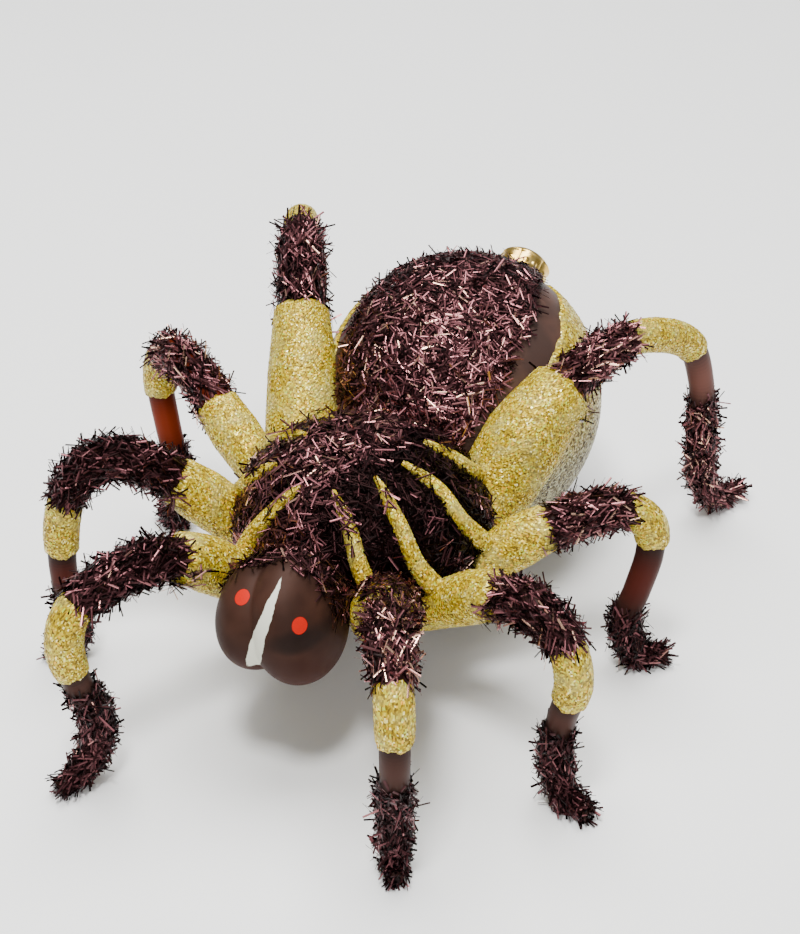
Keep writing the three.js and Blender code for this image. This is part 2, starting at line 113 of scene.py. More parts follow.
# Lengths over which the ends of coats run down, at the near and the far end, and how far they wander.
BASE_TAPER = (0.0, 2.2)
BASE_RAGGED = 0.5
KNEE_TAPER = (0.5, 1.4)
KNEE_RAGGED = 0.55
SLEEVE_TAPER = 2.0

# Fringe on a base: least share of its length and the most that chance adds, the two shape values
# of that chance, and angles round the base. The collar: shares and angles that it lies between.
FRINGE_SPAN = (0.72, 0.30)
FRINGE_CHANCES = (2.5, 1.0)
FRINGE_ANGLES = (math.pi * 0.95, math.pi * 2.05)
COLLAR_SPAN = (0.10, 1.0)
COLLAR_ANGLES = (-math.pi * 0.30, math.pi * 0.80)

# How far back from its end the strips on a toe begin.
TOE_REACH = 1.6

# The dark coat under the bodies' tinsel, painted shade between the strips, and how far its edges are off
# the saddle's.
UNDER_COAT = 0.35
UNDER_SHADE_TONE = 0.05
SADDLE_EDGES = (1.0, -2.0)

# How far below the glass a coat's border and its hidden side lie.
COAT_SINK = 0.25
COAT_DEPTH = 0.5

# Length over which a coat on the bulb rises from its border, and the width of a border left smooth.
COAT_TAPER = 1.6
COAT_BORDER = 0.2

# Factor from latitude to the value that a border's wave is taken at.
BORDER_WAVES = 5


class Slot(Enum):
    """Material slots of the record."""

    GLASS = "brown_glass"
    TINSEL = "tinsel"
    GLITTER = "glitter"
    GLITTER_GLASS = "glitter_glass"
    GOLD = "gold"


def rng_for(name: str) -> np.random.Generator:
    """A random generator that always starts the same for one name."""
    return np.random.default_rng(zlib.crc32(name.encode("ascii")))


def unit(vectors: Array) -> Array:
    """Vectors along the last axis, each scaled to length one."""
    return vectors / np.linalg.norm(vectors, axis=-1, keepdims=True)


def smoothstep(low: float, high: float, values: Array) -> Array:
    """Values eased from 0 at low to 1 at high, 3u^2 - 2u^3 between."""
    u = np.clip((values - low) / (high - low), 0.0, 1.0)
    return u * u * (3.0 - 2.0 * u)


def waves(values: Array, seed: float) -> Array:
    """A smooth, uneven wave between about -1 and 1: a sum of three sines."""
    return sum(np.sin(pitch * values + lag * seed) * height for pitch, lag, height in WAVES)


def tapered(reach: Array, length: float) -> Array:
    """0 at an end, eased to 1 at a length from it; 1 all along if there is no length."""
    if length <= 0.0:
        return np.ones_like(reach)
    return smoothstep(0.0, length, reach)


def even_radius(distance: Array, start: float, stop: float, radii: Sequence[float] | Array) -> Array:
    """Radius at distances, straight between radii at even steps from start to stop."""
    share = (distance - start) / (stop - start)
    return np.interp(share, np.linspace(0.0, 1.0, len(radii)), radii)


def ring_angles(sides: int) -> Array:
    """Even angles round a ring."""
    return np.arange(sides) * FULL_TURN / sides


def ball(polar: Array, azimuth: Array) -> Array:
    """Unit vectors (sin p cos q, sin p sin q, cos p)."""
    flat = np.sin(polar)
    return np.stack([flat * np.cos(azimuth), flat * np.sin(azimuth), np.cos(polar)], axis=-1)


def globe(first: float, last: float, rows: int, sides: int) -> Array:
    """Rings of unit vectors from one polar angle to another."""
    return ball(*np.meshgrid(np.linspace(first, last, rows), ring_angles(sides), indexing="ij"))


def curve_through(points: Array, steps: int) -> Array:
    """A centripetal Catmull-Rom curve through points, knots spaced by the root of each chord.

    Args:
        points: Points it passes, n by 3.
        steps: Points on each span of the curve.

    Returns:
        Points of the curve, with the last one of those it passes.
    """
    padded = np.concatenate([2 * points[:1] - points[1:2], points, 2 * points[-1:] - points[-2:-1]])
    p0, p1, p2, p3 = padded[:-3], padded[1:-2], padded[2:-1], padded[3:]
    gaps = np.sqrt(np.linalg.norm(np.diff(padded, axis=0), axis=1))[:, None]
    d0, d1, d2 = gaps[:-2], gaps[1:-1], gaps[2:]
    t1 = ((p1 - p0) / d0 - (p2 - p0) / (d0 + d1) + (p2 - p1) / d1) * d1
    t2 = ((p2 - p1) / d1 - (p3 - p1) / (d1 + d2) + (p3 - p2) / d2) * d1
    u = np.linspace(0.0, 1.0, steps, endpoint=False)[:, None, None]
    square = -3 * p1 + 3 * p2 - 2 * t1 - t2
    cube = 2 * p1 - 2 * p2 + t1 + t2
    curve = p1 + t1 * u + square * u**2 + cube * u**3
    return np.concatenate([curve.transpose(1, 0, 2).reshape(-1, 3), points[-1:]])


def path_lengths(points: Array) -> Array:
    """Distance along a path at each of its points."""
    strides = np.linalg.norm(np.diff(points, axis=0), axis=1)
    return np.concatenate([[0.0], np.cumsum(strides)])


def walk(points: Array, lengths: Array, distance: Array) -> Array:
    """Points at distances along a path, straight between its own points."""
    return np.stack([np.interp(distance, lengths, axis) for axis in points.T], axis=-1)


class PieceMesh:
    """Points and faces of one piece, gathered as arrays, with a tone per face."""

    def __init__(self) -> None:
        """Start with no faces."""
        self._points: list[Array] = []
        self._faces: list[Array] = []
        self._tones: list[Array] = []
        self._count = 0

    def add(self, points: Array, faces: Sequence[Array], tones: Sequence[Array | float]) -> None:
        """Add one block of points and its faces.

        Args:
            points: Positions, any shape that ends in 3.
            faces: Arrays of corner numbers, one array per face size.
            tones: One tone, or one per face, for each array of faces.
        """
        flat = points.reshape(-1, 3)
        for corners, tone in zip(faces, tones):
            self._faces.append(corners + self._count)
            self._tones.append(np.broadcast_to(np.asarray(tone, dtype=float), (len(corners),)))
        self._points.append(flat)
        self._count += len(flat)

    def add_tube(self, rings: Array, tone: Array | float = 0.5) -> None:
        """Add a closed tube: rings joined in order and shut by a pole at each end.

        Args:
            rings: Positions, rows by sides by 3, each ring anticlockwise about the path.
            tone: One tone, or one per wall face in row order.
        """
        rows, sides = rings.shape[:2]
        poles = np.stack([rings[0].mean(axis=0), rings[-1].mean(axis=0)])
        row, side = np.meshgrid(np.arange(rows - 1), np.arange(sides), indexing="ij")
        ahead = (side + 1) % sides
        walls = np.stack(
            [
                row * sides + side,
                row * sides + ahead,
                (row + 1) * sides + ahead,
                (row + 1) * sides + side,
            ],
            axis=-1,
        ).reshape(-1, 4)
        turn = np.arange(sides)
        after = (turn + 1) % sides
        last = (rows - 1) * sides
        first_pole = rows * sides
        start = np.stack([np.full(sides, first_pole), after, turn], axis=-1)
        end = np.stack([np.full(sides, first_pole + 1), last + turn, last + after], axis=-1)
        tones = np.broadcast_to(np.asarray(tone, dtype=float), (len(walls),))
        edge = float(tones.mean())
        self.add(np.concatenate([rings.reshape(-1, 3), poles]), [walls, start, end], [tones, edge, edge])

    def add_sheet(self, outer: Array, inner: Array, tone: Array | float) -> None:
        """Add a closed patch with an outer and an inner grid joined round the border.

        Args:
            outer: Positions, rows by columns by 3, seen from outside.
            inner: The same grid on the hidden side.
            tone: One tone, or one per outer face in row order.
        """
        rows, columns = outer.shape[:2]
        shift = rows * columns
        row, column = np.meshgrid(np.arange(rows - 1), np.arange(columns - 1), indexing="ij")
        corner = (row * columns + column).reshape(-1)
        top = np.stack([corner, corner + 1, corner + columns + 1, corner + columns], axis=-1)
        under = top[:, ::-1] + shift
        index = np.arange(shift).reshape(rows, columns)
        border = np.concatenate([index[0, :-1], index[:-1, -1], index[-1, :0:-1], index[:0:-1, 0]])
        ahead = np.roll(border, -1)
        rim = np.stack([border + shift, ahead + shift, ahead, border], axis=-1)
        tones = np.broadcast_to(np.asarray(tone, dtype=float), (len(top),))
        edge = float(tones.mean())
        points = np.concatenate([outer.reshape(-1, 3), inner.reshape(-1, 3)])
        self.add(points, [top, under, rim], [tones, edge, edge])

    def piece(self, name: str, nodes: Sequence[str], material: bpy.types.Material,
              smooth: bool) -> None:
        """Write the mesh as an object on the root body that takes the place of CAD nodes.

        Args:
            name: Name of the new object.
            nodes: CAD nodes it stands for.
            material: Finish of every face.
            smooth: Whether the faces are shaded smooth.
        """
        points = np.concatenate(self._points) * MM
        sizes = np.concatenate([np.full(len(block), block.shape[1]) for block in self._faces])
        corners = np.concatenate([block.reshape(-1) for block in self._faces])
        tones = np.concatenate(self._tones)
        mesh = bpy.data.meshes.new(name)
        mesh.vertices.add(len(points))
        mesh.vertices.foreach_set("co", points.astype(np.float32).reshape(-1))
        mesh.loops.add(len(corners))
        mesh.loops.foreach_set("vertex_index", corners.astype(np.int32))
        mesh.polygons.add(len(sizes))
        starts = np.concatenate([[0], np.cumsum(sizes)[:-1]])
        mesh.polygons.foreach_set("loop_start", starts.astype(np.int32))
        mesh.update(calc_edges=True)
        mesh.polygons.foreach_set("use_smooth", np.full(len(sizes), smooth))
        layer = mesh.attributes.new("tone", "FLOAT", "FACE")
        layer.data.foreach_set("value", tones.astype(np.float32))
        mesh.materials.append(material)
        mesh.update()
        thing = bpy.data.objects.new(name, mesh)
        bpy.context.scene.collection.objects.link(thing)
        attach(thing, "root")
        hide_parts(*nodes)
        LOG.info("%s: %d faces", name, len(sizes))


class Term:
    """A shader socket that takes part in Python arithmetic."""

    def __init__(self, shader: "Shader", socket: bpy.types.NodeSocket) -> None:
        """Hold an output socket of one shader."""
        self.shader = shader
        self.socket = socket

    def _math(self, operation: str, *terms: "Term | float") -> "Term":
        """One maths node over the given terms."""
        node = self.shader.node("ShaderNodeMath", {"operation": operation}, dict(enumerate(terms)))
        return Term(self.shader, node.outputs[0])

    def __add__(self, other: "Term | float") -> "Term":
        """Sum."""
        return self._math("ADD", self, other)

    __radd__ = __add__

    def __sub__(self, other: "Term | float") -> "Term":
        """Difference."""
        return self._math("SUBTRACT", self, other)

    def __rsub__(self, other: "Term | float") -> "Term":
        """Difference from a number."""
        return self._math("SUBTRACT", other, self)

    def __mul__(self, other: "Term | float") -> "Term":
        """Product."""
        return self._math("MULTIPLY", self, other)

    __rmul__ = __mul__

    def __truediv__(self, other: "Term | float") -> "Term":
        """Quotient."""
        return self._math("DIVIDE", self, other)

    def __pow__(self, other: "Term | float") -> "Term":
        """Power."""
        return self._math("POWER", self, other)

    def smallest(self, other: "Term | float") -> "Term":
        """The lesser of two."""
        return self._math("MINIMUM", self, other)

    def largest(self, other: "Term | float") -> "Term":
        """The greater of two."""
        return self._math("MAXIMUM", self, other)

    def size(self) -> "Term":
        """Absolute value."""
        return self._math("ABSOLUTE", self)

    def mapped(self, source: tuple[float, float], result: tuple[float, float],
               kind: str = "LINEAR") -> "Term":
        """The source range carried over to the result range and held past its ends."""
        node = self.shader.node(
            "ShaderNodeMapRange",
            {"interpolation_type": kind, "clamp": True},
            {
                "Value": self,
                "From Min": source[0],
                "From Max": source[1],
                "To Min": result[0],
                "To Max": result[1],
            },
        )
        return Term(self.shader, node.outputs["Result"])

    def eased(self, low: float, high: float) -> "Term":
        """Eased from 0 at low to 1 at high; low may be the greater."""
        if low < high:
            return self.mapped((low, high), (0.0, 1.0), "SMOOTHSTEP")
        return self.mapped((high, low), (1.0, 0.0), "SMOOTHSTEP")


class Shader:
    """A material and the nodes that make it."""

    def __init__(self, name: str) -> None:
        """Make a material that holds one principled shader."""
        self.material = bpy.data.materials.new(name)
        self.material.use_nodes = True
        self.tree = self.material.node_tree
        self.tree.nodes.clear()
        self._output = self.tree.nodes.new("ShaderNodeOutputMaterial")
        self.surface = self.tree.nodes.new("ShaderNodeBsdfPrincipled")
        self.tree.links.new(self.surface.outputs["BSDF"], self._output.inputs["Surface"])

    def feed(self, socket: bpy.types.NodeSocket, value: object) -> None:
        """Link a term or a socket to an input, or set the input's own value."""
        if isinstance(value, Term):
            self.tree.links.new(value.socket, socket)
        elif isinstance(value, bpy.types.NodeSocket):
            self.tree.links.new(value, socket)
        else:
            socket.default_value = value

    def node(self, kind: str, settings: dict[str, object] | None = None,
             inputs: dict[object, object] | None = None) -> bpy.types.Node:
        """Add a node.

        Args:
            kind: Type name of the node.
            settings: Properties of the node.
            inputs: Values or links, by input name or number.

        Returns:
            The new node.
        """
        made = self.tree.nodes.new(kind)
        for key, value in (settings or {}).items():
            setattr(made, key, value)
        for key, value in (inputs or {}).items():
            self.feed(made.inputs[key], value)
        return made

    def tone(self) -> Term:
        """The tone kept on each face."""
        node = self.node("ShaderNodeAttribute", {"attribute_name": "tone"})
        return Term(self, node.outputs["Fac"])

    def place(self) -> tuple[Term, Term, Term]:
        """Object coordinates x, y and z in millimetres."""
        where = self.node("ShaderNodeTexCoord")
        split = self.node("ShaderNodeSeparateXYZ", None, {0: where.outputs["Object"]})
        return tuple(Term(self, split.outputs[axis]) * MM_PER_METRE for axis in ("X", "Y", "Z"))

    def noise(self, size: float, detail: float = 2.0) -> Term:
        """Fractal noise from 0 to 1 whose spots are about the given millimetres across."""
        where = self.node("ShaderNodeTexCoord")
        node = self.node(
            "ShaderNodeTexNoise",
            {"noise_dimensions": "3D"},
            {"Vector": where.outputs["Object"], "Scale": MM_PER_METRE / size, "Detail": detail},
        )
        return Term(self, node.outputs["Fac"])

    def ramp(self, factor: Term, stops: Sequence[tuple[float, Colour]]) -> bpy.types.NodeSocket:
        """A colour that runs through stops of position and colour."""
        node = self.node("ShaderNodeValToRGB", None, {0: factor})
        elements = node.color_ramp.elements
        while len(elements) < len(stops):
            elements.new(0.5)
        for element, (position, colour) in zip(elements, stops):
            element.position = position
            element.color = (*colour, 1.0)
        return node.outputs["Color"]

    def blend(self, factor: Term, first: object, second: object) -> bpy.types.NodeSocket:
        """A colour that goes from first to second by a factor."""
        node = self.node("ShaderNodeMix", {"data_type": "RGBA"}, {0: factor})
        for number, colour in zip(MIX_COLOURS, (first, second)):
            self.feed(node.inputs[number], (*colour, 1.0) if isinstance(colour, tuple) else colour)
        return node.outputs[MIX_RESULT]

    def satin(self, size: float, depth: float = 0.02, strength: float = 0.25) -> bpy.types.NodeSocket:
        """A normal with fine pores of a width and depth in millimetres."""
        height = self.noise(size)
        node = self.node("ShaderNodeBump", None,
                         {"Height": height, "Distance": depth * MM, "Strength": strength})
        return node.outputs["Normal"]

    def set(self, **values: object) -> None:
        """Set or link inputs of the principled shader; underscores stand for spaces."""
        for key, value in values.items():
            if isinstance(value, tuple) and len(value) == 3:
                value = (*value, 1.0)
            self.feed(self.surface.inputs[key.replace("_", " ")], value)


@dataclass(frozen=True)
class TinselFinish:
    """Plum foil: each strip its own shade, from near black to rose copper; the darkest tones carry
    painted shade and the brightest painted glints.

    Attributes:
        name: Name of the material.
        metallic: How far it reflects like metal.
        roughness: Roughness of the darkest strips.
        polish: How much smoother the brightest strips are.
        shades: Colour by tone.
    """

    name: str = "plum_tinsel"
    metallic: float = 0.95
    roughness: float = 0.40
    polish: float = 0.16
    shades: Stops = (
        (0.0, (0.003, 0.001, 0.001)),
        (0.14, (0.010, 0.003, 0.003)),
        (0.30, (0.047, 0.016, 0.018)),
        (0.55, (0.178, 0.065, 0.072)),
        (0.80, (0.390, 0.160, 0.160)),
        # The top of the ramp is the colour of the strips painted as highlights.
        (1.0, (0.940, 0.560, 0.390)),
    )

    def make(self) -> bpy.types.Material:
        """The material."""
        shader = Shader(self.name)
        tone = shader.tone()
        shader.set(
            Base_Color=shader.ramp(tone, self.shades),
            Metallic=self.metallic,
            Roughness=self.roughness - self.polish * tone,
        )
        return shader.material


@dataclass(frozen=True)
class GlitterFinish:
    """Yellow glitter: each flake its own tint, the brightest ones painted glints in white, green and
    orange.

    Attributes:
        name: Name of the material.
        shade_grey: How far painted shade turns the coat greyer and darker towards the bottom.
        shade_heights: Where the painted shade begins and where it is full.
        wander: How far the edge of the shade wanders up and down, and the width of that wandering.
        pale: Colour of the paler patches.
        pale_share: How far the patches turn to it.
        patch_size: Width of a patch.
        patch_edge: Noise values between which a patch begins.
        metallic: How far a flake reflects like metal.
        specular: Strength of its clear reflection.
        roughness: Roughness of the darkest flakes.
        polish: How much smoother the brightest flakes are.
        tints: Colour by tone.
        shade_tints: Colour by tone where painted shade has turned the coat greyer.
    """

    name: str
    shade_grey: float = 0.0
    shade_heights: tuple[float, float] = (56.0, 28.0)
    wander: tuple[float, float] = (14.0, 7.0)
    pale: Colour = (0.520, 0.490, 0.170)
    pale_share: float = 0.34
    patch_size: float = 5.0
    patch_edge: tuple[float, float] = (0.46, 0.72)
    metallic: float = 0.20
    specular: float = 0.25
    roughness: float = 0.62
    polish: float = 0.40
    tints: Stops = (
        (0.0, (0.120, 0.072, 0.006)),
        (0.16, (0.200, 0.122, 0.002)),
        (0.45, (0.375, 0.252, 0.004)),
        (0.70, (0.600, 0.450, 0.020)),
        # From here up, colours of the flakes that are painted glints.
        (0.77, (0.480, 0.640, 0.070)),
        (0.84, (0.780, 0.360, 0.012)),
        (0.90, (0.760, 0.640, 0.070)),
        (1.0, (0.980, 0.880, 0.380)),
    )
    shade_tints: Stops = (
        (0.0, (0.024, 0.020, 0.030)),
        (0.45, (0.140, 0.120, 0.062)),
        (1.0, (0.480, 0.480, 0.340)),
    )

    def make(self) -> bpy.types.Material:
        """The material."""
        shader = Shader(self.name)
        tone = shader.tone()
        patches = shader.noise(self.patch_size).eased(*self.patch_edge) * self.pale_share
        colour = shader.blend(patches, shader.ramp(tone, self.tints), self.pale)
        # Painted shade: the coat turns greyer and darker towards the bottom of the flank, away from the
        # light above.
        if self.shade_grey > 0.0:
            reach, size = self.wander
            height = shader.place()[2] + shader.noise(size, FINE) * reach - 0.5 * reach
            shaded_tint = shader.ramp(tone, self.shade_tints)
            colour = shader.blend(height.eased(*self.shade_heights) * self.shade_grey, colour, shaded_tint)
        shader.set(
            Base_Color=colour,
            Metallic=self.metallic,
            Roughness=self.roughness - self.polish * tone,
            Specular_IOR_Level=self.specular,
        )
        return shader.material


class Glass(Enum):
    """Shades of the legs' glass: dark colour, warm colour of the painted light shining through it, and
    how much light passes.
    """

    BROWN = ((0.028, 0.012, 0.009), (0.047, 0.018, 0.013), 0.0)
    RUSSET = ((0.060, 0.026, 0.021), (0.130, 0.050, 0.038), 0.0)
    RED = ((0.021, 0.007, 0.005), (0.058, 0.010, 0.006), 0.015)
    AMBER = ((0.090, 0.010, 0.002), (0.165, 0.018, 0.003), 0.05)


@dataclass(frozen=True)
class GlassFinish:
    """Satin brown glass, with light passing through where it is thin.

    Attributes:
        name: Name of the material.
        dark: Its darker colour.
        warm: Its warmer colour, for its clouds, and on the legs for painted light shining through the
            glass.
        passing: How much light passes through.
        roughness: Least roughness.
        specular: Strength of the clear reflection.
        painted_glow: Whether the mesh's tone says where it is warm, as painted light shining through the
            glass; clouds say so otherwise.
        cloud_size: Width of a cloud.
        grain: How much roughness its grain adds, and the width of a grain.
        pore_size: Width of a pore of its satin skin.
    """

    name: str
    dark: Colour = (0.045, 0.025, 0.020)
    warm: Colour = (0.088, 0.042, 0.030)
    passing: float = 0.0
    roughness: float = 0.40
    specular: float = 0.22
    painted_glow: bool = False
    cloud_size: float = 11.0
    grain: tuple[float, float] = (0.12, 1.4)
    pore_size: float = 0.7

    def make(self) -> bpy.types.Material:
        """The material."""
        shader = Shader(self.name)
        cloud_and_glow = shader.tone() if self.painted_glow else shader.noise(self.cloud_size).eased(*CLOUDS)
        amount, size = self.grain
        shader.set(
            Base_Color=shader.blend(cloud_and_glow, self.dark, self.warm),
            Roughness=self.roughness + amount * shader.noise(size, FINE),
            Transmission_Weight=self.passing,
            IOR=GLASS_IOR,
            Specular_IOR_Level=self.specular,
            Normal=shader.satin(self.pore_size),
        )
        return shader.material


@dataclass(frozen=True)
class HeadFinish:
    """The head's brown glass with two painted eyes and a cream stripe down its groove.

    Attributes:
        name: Name of the material.
        browns: Colours that the glass clouds between.
        glow_and_shade_brown: Redder, darker colour towards the bottom, painted light shining through the
            glass with painted shade, and how far the glass turns to it.
        low: Height where that begins and where it is full.
        front: y where the paint begins and where it is full.
        eye_shade: Colour of the painted shade under one eye, and its strength.
        shade_middle: Middle of that shade, x and z.
        shade_radii: Its half width and half height.
        groove_glow: Colour of the painted light that shines through the groove's edge, a warm line inside
            the stripe's edge, and its strength.
        glow_inset: How far inside the edge it runs, and its half width.
        glow_foot: Heights where it fades in.
        glow_top: Heights where it fades out.
        cream: Colour of the stripe.
        stripe_left: The stripe's edge of lesser x, as height and x, from the top down.
        stripe_right: Its other edge.
        stripe_top: Heights over which it ends at the top.
        stripe_foot: Heights over which it ends at the foot.
        red: Colour of the eyes.
        eyes: Middles of the eyes.
        eye_radii: Half sizes of an eye along x, y and z.
        eye_rim: Sums of squares between which the paint of an eye ends.
        shade_rim: The same for the painted shade under the eye.
        glow_rim: Shares of its half width between which that painted light fades.
        wobble_size: Width of the wobbles in the edges of the paint.
        stripe_wobble: How far the stripe's left, right and lower edges wobble.
        eye_wobble: How far the rim of an eye wobbles.
        blur: Half the width over which the stripe's sides end.
        cloud_size: Width of a cloud in the glass.
        roughness: Least roughness.
        grain: How much roughness its grain adds, and the width of a grain.
        specular: Strength of the clear reflection.
        pore_size: Width of a pore of its satin skin.
    """

    name: str = "head_glass"
    browns: tuple[Colour, Colour] = ((0.026, 0.0112, 0.0076), (0.044, 0.0190, 0.0126))
    glow_and_shade_brown: tuple[Colour, float] = ((0.040, 0.0100, 0.0062), 0.85)
    low: tuple[float, float] = (43.0, 28.0)
    front: tuple[float, float] = (-52.0, -54.0)
    eye_shade: tuple[Colour, float] = ((0.010, 0.006, 0.005), 0.8)
    shade_middle: tuple[float, float] = (8.0, 42.3)
    shade_radii: tuple[float, float] = (5.2, 3.0)
    groove_glow: tuple[Colour, float] = ((0.190, 0.062, 0.016), 0.9)
    glow_inset: tuple[float, float] = (0.95, 0.45)
    glow_foot: tuple[float, float] = (36.0, 40.0)
    glow_top: tuple[float, float] = (49.0, 45.0)
    cream: Colour = (0.64, 0.64, 0.53)
    stripe_left: tuple[tuple[float, float], ...] = (
        (52.6, 1.45), (51.3, 1.35), (49.8, 0.70), (48.2, 0.50), (46.1, -0.15),
        (43.6, -1.0), (40.8, -1.85), (38.4, -2.2), (35.3, -2.95), (33.0, -3.4),
    )
    stripe_right: tuple[tuple[float, float], ...] = (
        (52.6, 1.65), (51.4, 2.35), (50.1, 2.45), (48.6, 2.7), (47.0, 2.7),
        (45.0, 2.4), (42.7, 1.9), (40.2, 1.7), (36.8, 0.85), (32.9, -0.95),
    )
    stripe_top: tuple[float, float] = (52.8, 52.4)
    stripe_foot: tuple[float, float] = (33.0, 33.5)
    red: Colour = (0.47, 0.009, 0.003)
    eyes: tuple[tuple[float, float, float], ...] = ((-5.8, -59.6, 47.8), (7.9, -60.4, 45.5))
    eye_radii: tuple[float, float, float] = (1.62, 1.75, 1.85)
    eye_rim: tuple[float, float] = (1.08, 0.92)
    shade_rim: tuple[float, float] = (1.3, 0.1)
    glow_rim: tuple[float, float] = (1.0, 0.2)
    wobble_size: float = 1.4
    stripe_wobble: tuple[float, float, float] = (0.5, 0.7, 2.2)
    eye_wobble: float = 0.25
    blur: float = 0.08
    cloud_size: float = 9.0
    roughness: float = 0.44
    grain: tuple[float, float] = (0.14, 1.2)
    specular: float = 0.07
    pore_size: float = 0.6

    def make(self) -> bpy.types.Material:
        """The material: brown glass, then painted shade under an eye, painted light inside the groove's
        edge, the stripe and the eyes over it.
        """
        shader = Shader(self.name)
        x, y, z = shader.place()
        ragged = shader.noise(self.wobble_size, FINE) - 0.5
        front = y.eased(*self.front)
        by_left, by_right, by_foot = self.stripe_wobble
        left = x - self._course(z, self.stripe_left) + ragged * by_left
        right = self._course(z, self.stripe_right) - x + ragged * by_right
        ends = z.eased(*self.stripe_top) * (z + ragged * by_foot).eased(*self.stripe_foot)
        eye_shade, shade_share = self.eye_shade
        groove_glow, glow_share = self.groove_glow
        layers = (
            # Painted shade under one eye.
            (self._shade_under_eye(x, z) * front * shade_share, eye_shade),
            # Painted light shining through the groove's edge.
            (self._glow_line(right, z, ragged) * front * glow_share, groove_glow),
            (left.smallest(right).eased(-self.blur, self.blur) * ends * front, self.cream),
            (self._eyes((x, y, z), ragged) * front, self.red),
        )
        colour = self._glass(shader, z)
        for cover, paint in layers:
            colour = shader.blend(cover, colour, paint)
        amount, size = self.grain
        shader.set(
            Base_Color=colour,
            Roughness=self.roughness + amount * shader.noise(size, FINE),
            Specular_IOR_Level=self.specular,
            Normal=shader.satin(self.pore_size),
        )
        return shader.material

    def _glass(self, shader: Shader, height: Term) -> bpy.types.NodeSocket:
        """Clouded brown that turns redder and darker towards the bottom: painted light shining through
        the glass, and painted shade.
        """
        brown = shader.blend(shader.noise(self.cloud_size).eased(*CLOUDS), *self.browns)
        glow_and_shade_brown, share = self.glow_and_shade_brown
        return shader.blend(height.eased(*self.low) * share, brown, glow_and_shade_brown)

    def _shade_under_eye(self, x: Term, z: Term) -> Term:
        """1 in the middle of the painted shade under the eye, 0 past its rim."""
        wide = ((x - self.shade_middle[0]) / self.shade_radii[0]) ** 2.0
        high = ((z - self.shade_middle[1]) / self.shade_radii[1]) ** 2.0
        return (wide + high).eased(*self.shade_rim)

    def _glow_line(self, inside: Term, z: Term, ragged: Term) -> Term:
        """1 along the painted light inside the groove's edge, from the distance inside the stripe's edge.
        """
        middle, half_width = self.glow_inset
        beside = (middle - inside).size() / half_width + ragged
        begun = beside.eased(*self.glow_rim) * z.eased(*self.glow_foot)
        return begun * z.eased(*self.glow_top)

    def _eyes(self, place: Sequence[Term], ragged: Term) -> Term:
        """1 inside either eye, where the sum of ((axis - middle) / radius)^2 is below one."""
        marks = []
        for spot in self.eyes:
            axes = zip(place, spot, self.eye_radii)
            x, y, z = (((axis - middle) / radius) ** 2.0 for axis, middle, radius in axes)
            marks.append((x + y + z + ragged * self.eye_wobble).eased(*self.eye_rim))
        return marks[0].largest(marks[1])

    def _course(self, height: Term, points: Sequence[tuple[float, float]]) -> Term:
        """An x at each height, straight between points of height and x, from the top down."""
        spans = [
            height.mapped((foot, top), (x_foot - x_top, 0.0))
            for (top, x_top), (foot, x_foot) in zip(points[:-1], points[1:])
        ]
        return sum(spans[1:], spans[0]) + points[0][1]


@dataclass(frozen=True)
class GoldFinish:
    """Thin gold-coloured pressed metal, worn in spots.

    Attributes:
        name: Name of the material.
        bright: Its usual colour.
        worn: Colour of the worn spots.
        wear_size: Width of a spot.
        wear_edge: Noise values between which a spot begins.
        roughness: Least roughness.
        dulling: How much rougher wear makes it.
    """

    name: str = "gold_cap"
    bright: Colour = (0.72, 0.46, 0.10)
    worn: Colour = (0.86, 0.64, 0.24)
    wear_size: float = 1.8
    wear_edge: tuple[float, float] = (0.4, 0.75)
    roughness: float = 0.20
    dulling: float = 0.18

    def make(self) -> bpy.types.Material:
        """The material."""
        shader = Shader(self.name)
        wear = shader.noise(self.wear_size, FINE)
        shader.set(
            Base_Color=shader.blend(wear.eased(*self.wear_edge), self.bright, self.worn),
            Metallic=1.0,
            Roughness=self.roughness + self.dulling * wear,
        )
        return shader.material


@dataclass(frozen=True)
class PaperFinish:
    """The pale paper that the ornament stands on, faintly clouded.

    Attributes:
        name: Name of the material.
        whites: Colours that it clouds between.
        cloud_size: Width of a cloud.
        cloud_edge: Noise values between which a cloud begins.
        roughness: Its roughness.
    """

    name: str = "pale_paper"
    whites: tuple[Colour, Colour] = ((0.94, 0.94, 0.925), (0.96, 0.96, 0.945))
    cloud_size: float = 260.0
    cloud_edge: tuple[float, float] = (0.3, 0.7)
    roughness: float = 0.75

    def make(self) -> bpy.types.Material:
        """The material."""
        shader = Shader(self.name)
        cloud = shader.noise(self.cloud_size).eased(*self.cloud_edge)
        shader.set(Base_Color=shader.blend(cloud, *self.whites), Roughness=self.roughness)
        return shader.material


@dataclass
class Finishes:
    """Every material, made once.

    Attributes:
        tinsel: Cut foil.
        glitter: Glitter of the legs.
        shaded_glitter: Glitter of the bulb's flanks, with painted shade that turns it greyer towards the
            bottom.
        glass: Glass of the two bodies.
        leg_glass: Glass of the legs, by shade.
        head: Painted glass of the head.
        gold: Metal of the cap.
        paper: The floor.
    """

    tinsel: bpy.types.Material = field(default_factory=lambda: TinselFinish().make())
    glitter: bpy.types.Material = field(default_factory=lambda: GlitterFinish("yellow_glitter").make())
    shaded_glitter: bpy.types.Material = field(
        default_factory=lambda: GlitterFinish("flank_glitter_shaded", shade_grey=0.85).make()
    )
    glass: bpy.types.Material = field(default_factory=lambda: GlassFinish("bulb_glass").make())
    leg_glass: dict[Glass, bpy.types.Material] = field(
        default_factory=lambda: {
            shade: GlassFinish(shade.name.lower() + "_leg_glass", *shade.value, roughness=0.34,
                               specular=0.06, painted_glow=True).make()
            for shade in Glass
        }
    )
    head: bpy.types.Material = field(default_factory=lambda: HeadFinish().make())
    gold: bpy.types.Material = field(default_factory=lambda: GoldFinish().make())
    paper: bpy.types.Material = field(default_factory=lambda: PaperFinish().make())


